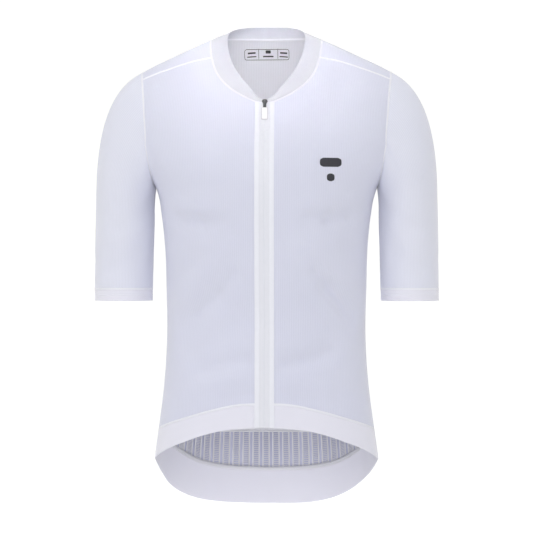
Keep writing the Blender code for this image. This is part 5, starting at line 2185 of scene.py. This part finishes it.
@dataclass(frozen=True)
class Slider:
    """The zip slider, in its own frame: across, up along the zip and out from the cloth."""

    pattern: Pattern
    height: float = -91.6
    plate_middle: float = 1.4
    plate_thickness: float = 1.6
    head: tuple[tuple[float, float], ...] = (
        (0.0, 5.6), (-3.2, 5.2), (-4.3, 2.4), (-2.5, -1.0), (-2.2, -5.8),
        (2.2, -5.8), (2.5, -1.0), (4.3, 2.4), (3.2, 5.2),
    )
    head_corner: float = 1.0
    eye: float = 3.4
    eye_radius: float = 0.75
    bridge_wire: float = 0.7
    bridge_span: float = 3.0
    bridge_foot: float = 1.1
    bridge_out: float = 4.9
    hinge_out: float = 3.2
    loop: Strip = Strip(2.4, 0.5, -10.0, 0.8)
    window: Strip = Strip(1.3, -0.5, -4.0, 0.5)
    loop_thickness: float = 1.0
    tab: Strip = Strip(4.9, -8.0, -27.0, 1.6)
    tab_thickness: float = 1.1
    pad: Strip = Strip(3.7, -8.4, -26.1, 1.2)
    pad_thickness: float = 1.5
    round_edge: float = 0.35
    fine_edge: float = 0.3

    def frame(self) -> Matrix:
        """The slider's own frame."""
        place = self.pattern.form.place(Face.FRONT, 0.0, self.height)
        points, normals = self.pattern.form.outer(place[None])
        across = Vector((1.0, 0.0, 0.0))
        outward = Vector((0.0, normals[0, 1], normals[0, 2])).normalized()
        frame = Matrix((across, outward.cross(across), outward)).transposed().to_4x4()
        frame.translation = Vector(points[0]) * MM
        return frame

    def build(self) -> None:
        """Adds the slider's plate and bridge, and the pull's metal loop and rubber tab."""
        frame = self.frame()
        head = (rounded(self.head, self.head_corner), ring_line(0.0, self.eye, self.eye_radius))
        plate = plate_mesh("slider_plate", head, self.plate_thickness, self.round_edge)
        plate.transform(frame @ Matrix.Translation((0.0, 0.0, self.plate_middle * MM)))
        add_piece("slider_plate", plate, SLIDER_PAINT, ["zip_slider"])
        turns = math.pi * even(16)
        arch = self.bridge_foot + (self.bridge_out - self.bridge_foot) * np.sin(turns) ** 0.6
        path = np.stack([np.zeros_like(turns), self.bridge_span * np.cos(turns), arch], -1)
        parts = MeshParts()
        normals = np.broadcast_to(np.array([1.0, 0.0, 0.0]), path.shape)
        add_threads(parts, path[None], normals[None], self.bridge_wire, 10)
        bridge = parts.mesh("slider_bridge")
        bridge.transform(frame)
        add_piece("slider_bridge", bridge, SLIDER_PAINT)
        out = frame @ Matrix.Translation((0.0, 0.0, self.hinge_out * MM))
        for name, strips, thickness, edge, finish, nodes in (
            ("pull_loop", (self.loop, self.window), self.loop_thickness, self.fine_edge, SLIDER_PAINT, ()),
            # The tab's darker grey round the pad is painted shade.
            ("pull_tab", (self.tab,), self.tab_thickness, self.round_edge, PULL_EDGE_SHADE, ("zip_pull",)),
            ("pull_pad", (self.pad,), self.pad_thickness, self.fine_edge, PULL_RUBBER, ()),
        ):
            plate = plate_mesh(name, [strip.outline() for strip in strips], thickness, edge)
            plate.transform(out)
            add_piece(name, plate, finish, nodes, PULL_BODY)


class Bar(NamedTuple):
    """A printed bar with rounded corners: its middle, its size and its corners' radius."""

    x: float
    z: float
    width: float
    height: float
    corner: float


@dataclass(frozen=True)
class Prints:
    """Plain printed bars in place of the marks on the chest and inside the neck."""

    pattern: Pattern
    film: float = 0.12
    columns: int = 24
    rows: int = 8
    chest: tuple[Bar, ...] = table(Bar, (
        (94.5, -177.6, 31, 13, 5), (94.5, -199, 11, 11, 4),
    ))
    neck_frame: Bar = Bar(-1.5, -4.4, 68.0, 15.5, 4.0)
    neck_line: float = 0.8
    neck_arch: float = 0.0018
    neck: tuple[Bar, ...] = table(Bar, (
        (-14, -4.4, 0.7, 15, 0.2), (15, -4.4, 0.7, 15, 0.2), (-24.5, -2.6, 12, 2.4, 0.6),
        (-24.5, -7.8, 14, 1.6, 0.5), (0.5, -1.8, 8, 4.4, 0.8), (0.5, -8.2, 16, 2, 0.6),
        (24, -2.6, 11, 2.4, 0.6), (24, -7.8, 13, 1.6, 0.5),
    ))

    def bar(self, bar: Bar) -> Array:
        """A grid over a bar.

        Args:
            bar: The bar.

        Returns:
            Widths and heights by row and column.
        """
        half = bar.height / 2
        rise = np.linspace(-half, half, self.rows + 1)
        cut = np.maximum(np.abs(rise) - (half - bar.corner), 0.0)
        reach = bar.width / 2 - bar.corner + np.sqrt(np.maximum(bar.corner**2 - cut**2, 0.0))
        shares = np.linspace(-1.0, 1.0, self.columns + 1)
        x = bar.x + shares * reach[:, None]
        return np.stack([x, np.broadcast_to(bar.z + rise[:, None], x.shape)], -1)

    def frame(self, bar: Bar) -> Array:
        """A grid of widths and heights over a thin line round a bar."""
        rows = []
        for inset in (self.neck_line, 0.0):
            x, z = bar.width / 2 - inset, bar.height / 2 - inset
            corners = [(-x, -z), (x, -z), (x, z), (-x, z)]
            line = rounded(corners, bar.corner - inset)
            rows.append(np.concatenate([line, line[:1]]) + np.array([bar.x, bar.z]))
        return np.array(rows)

    def add(self, parts: MeshParts, face: Face, grid: Array, inside: bool) -> None:
        """Adds a printed film.

        Args:
            parts: What it is added to.
            face: The face of the torso that it is on.
            grid: Its widths and heights by row and column.
            inside: Whether it is on the cloth's inner face.
        """
        form = self.pattern.form
        places = np.array([[form.place(face, x, z) for x, z in row] for row in grid])
        points, normals = form.outer(places)
        weave = form.weave(places, 0.0)
        if inside:
            points, normals = points - normals * BODY_CLOTH, -normals
        turned = np.cross(points[0, 1] - points[0, 0], points[1, 0] - points[0, 0]) @ normals[0, 0] < 0
        if turned:
            points, normals, weave = points[:, ::-1], normals[:, ::-1], weave[:, ::-1]
        add_shell(parts, Cloth(points, normals, weave).moved(self.film / 2), self.film, 1)

    def build(self) -> None:
        """Adds both prints."""
        parts = MeshParts()
        for bar in self.chest:
            self.add(parts, Face.FRONT, self.bar(bar), inside=False)
        add_piece("chest_print", parts, PRINT_INK)
        parts = MeshParts()
        for grid in (self.frame(self.neck_frame), *map(self.bar, self.neck)):
            grid[..., 1] -= self.neck_arch * grid[..., 0] ** 2
            self.add(parts, Face.BACK, grid, inside=True)
        add_piece("neck_print", parts, PRINT_INK)


class Lamp(NamedTuple):
    """A soft square light: its place and aim in metres, its size, power and spread."""

    name: str
    place: tuple[float, float, float]
    aim: tuple[float, float, float]
    size: float
    power: float
    spread: float


@dataclass(frozen=True)
class Studio:
    """A pale floor, soft light and the camera."""

    distance: float = 3.0
    height: float = -0.3258
    turn: float = 1.75
    lens: float = 137.45
    sensor: float = 36.0
    clip_end: float = 50.0
    floor_z: float = -0.95
    floor_reach: float = 6.0
    floor_bend: float = 2.0
    floor_half_width: float = 9.0
    floor_shades: tuple[float, float] = (0.81, 0.83)
    floor_roughness: float = 0.9
    floor_relief: float = 0.1
    floor_glow: float = 0.39
    glow_start: float = 0.5
    glow_end: float = 1.9
    horizon: float = 0.6
    world_strength: float = 0.85
    lamps: tuple[Lamp, ...] = (
        Lamp("side", (-2.6, -1.6, 1.2), (0.0, 0.0, -0.3), 1.6, 7.5, 180.0),
        Lamp("front", (0.0, -3.1, 0.5), (0.0, 0.0, -0.3), 1.2, 23.0, 180.0),
        Lamp("neck", (-0.1, -2.4, 0.55), (0.0, 0.05, -0.03), 0.2, 0.046, 7.0),
        Lamp("neck_left", (-1.3, -2.0, 0.6), (0.0, 0.05, -0.03), 0.2, 0.018, 7.0),
        Lamp("neck_right", (1.1, -2.1, 0.6), (0.0, 0.05, -0.03), 0.2, 0.024, 7.0),
        Lamp("hem", (0.0, -0.05, -0.93), (0.0, 0.06, -0.5), 0.15, 0.04, 60.0),
        Lamp("rim", (0.0, 2.4, 1.2), (0.0, 0.0, -0.3), 2.0, 8.0, 180.0),
    )

    def build(self) -> None:
        """Adds the floor, the lights and the camera."""
        self.add_world()
        self.add_floor()
        for lamp in self.lamps:
            self.add_light(lamp)
        camera = bpy.data.objects.new("camera", bpy.data.cameras.new("camera"))
        camera.data.lens = self.lens
        camera.data.sensor_width = self.sensor
        camera.data.clip_end = self.clip_end
        turn = math.radians(self.turn)
        camera.location = (self.distance * math.sin(turn), -self.distance * math.cos(turn), self.height)
        camera.rotation_euler = (math.pi / 2, 0.0, turn)
        bpy.context.scene.collection.objects.link(camera)
        bpy.context.scene.camera = camera
        bpy.context.scene.view_settings.view_transform = "Standard"

    def add_world(self) -> None:
        """A white surround, brightest overhead."""
        world = bpy.data.worlds.new("white_surround")
        world.use_nodes = True
        nodes, links = world.node_tree.nodes, world.node_tree.links
        way = nodes.new("ShaderNodeSeparateXYZ")
        tone = nodes.new("ShaderNodeMapRange")
        tone.inputs["To Min"].default_value = self.horizon
        background = nodes["Background"]
        background.inputs["Strength"].default_value = self.world_strength
        links.new(nodes.new("ShaderNodeTexCoord").outputs["Generated"], way.inputs[0])
        links.new(way.outputs["Z"], tone.inputs["Value"])
        links.new(tone.outputs[0], background.inputs["Color"])
        bpy.context.scene.world = world

    def add_floor(self) -> None:
        """A pale floor that curves up into a backdrop."""
        reach, radius, wide = self.floor_reach, self.floor_bend, self.floor_half_width
        turns = math.pi / 2 * even(12)
        ys = np.concatenate([[-reach], reach - radius + radius * np.sin(turns), [reach]])
        zs = np.concatenate([[0.0], radius - radius * np.cos(turns), [reach]])
        rows = [[(x, y, self.floor_z + z) for x in (-wide, wide)] for y, z in zip(ys, zs)]
        parts = MeshParts()
        add_strip(parts, np.array(rows) / MM)
        floor = bpy.data.objects.new("floor", parts.mesh("floor"))
        bench = NodeBench("pale_floor")
        grain = bench.noise(bench.place(), 30.0)
        tone = bench.mix(grain, *(rgba((shade, shade, shade)) for shade in self.floor_shades))
        away = bench.node("ShaderNodeSeparateXYZ", {0: bench.place()}).outputs[1]
        glow = bench.node("ShaderNodeMapRange", {0: away, 1: self.glow_start, 2: self.glow_end}).outputs[0]
        emission = {"Emission_Color": glow, "Emission_Strength": self.floor_glow}
        bench.finish(tone, self.floor_roughness, grain, self.floor_relief, **emission)
        floor.data.materials.append(bench.material)
        bpy.context.scene.collection.objects.link(floor)

    def add_light(self, lamp: Lamp) -> None:
        """Adds a light that the camera doesn't see.

        Args:
            lamp: The light.
        """
        light = bpy.data.lights.new(lamp.name, "AREA")
        light.energy = lamp.power
        light.size = lamp.size
        light.spread = math.radians(lamp.spread)
        holder = bpy.data.objects.new(lamp.name, light)
        holder.location = lamp.place
        holder.rotation_euler = (Vector(lamp.aim) - holder.location).to_track_quat("-Z", "Y").to_euler()
        holder.visible_camera = False
        bpy.context.scene.collection.objects.link(holder)


def main() -> None:
    """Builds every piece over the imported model."""
    logging.basicConfig(level=logging.INFO, format="%(name)s: %(message)s")
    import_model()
    form = TorsoForm()
    pattern = Pattern(form)
    sleeves = (Sleeve(pattern, Side.LEFT), Sleeve(pattern, Side.RIGHT))
    collar = Collar(pattern)
    pockets = Pockets(pattern)
    for group in (
        Panels(pattern),
        HemBands(pattern),
        Openwork(pattern),
        pockets,
        *sleeves,
        collar,
        Zip(pattern),
        Slider(pattern),
        Sewing(pattern, sleeves, collar, pockets),
        Prints(pattern),
        Studio(),
    ):
        group.build()
        LOG.info("%s: built", type(group).__name__)


if __name__ == "__main__":
    main()
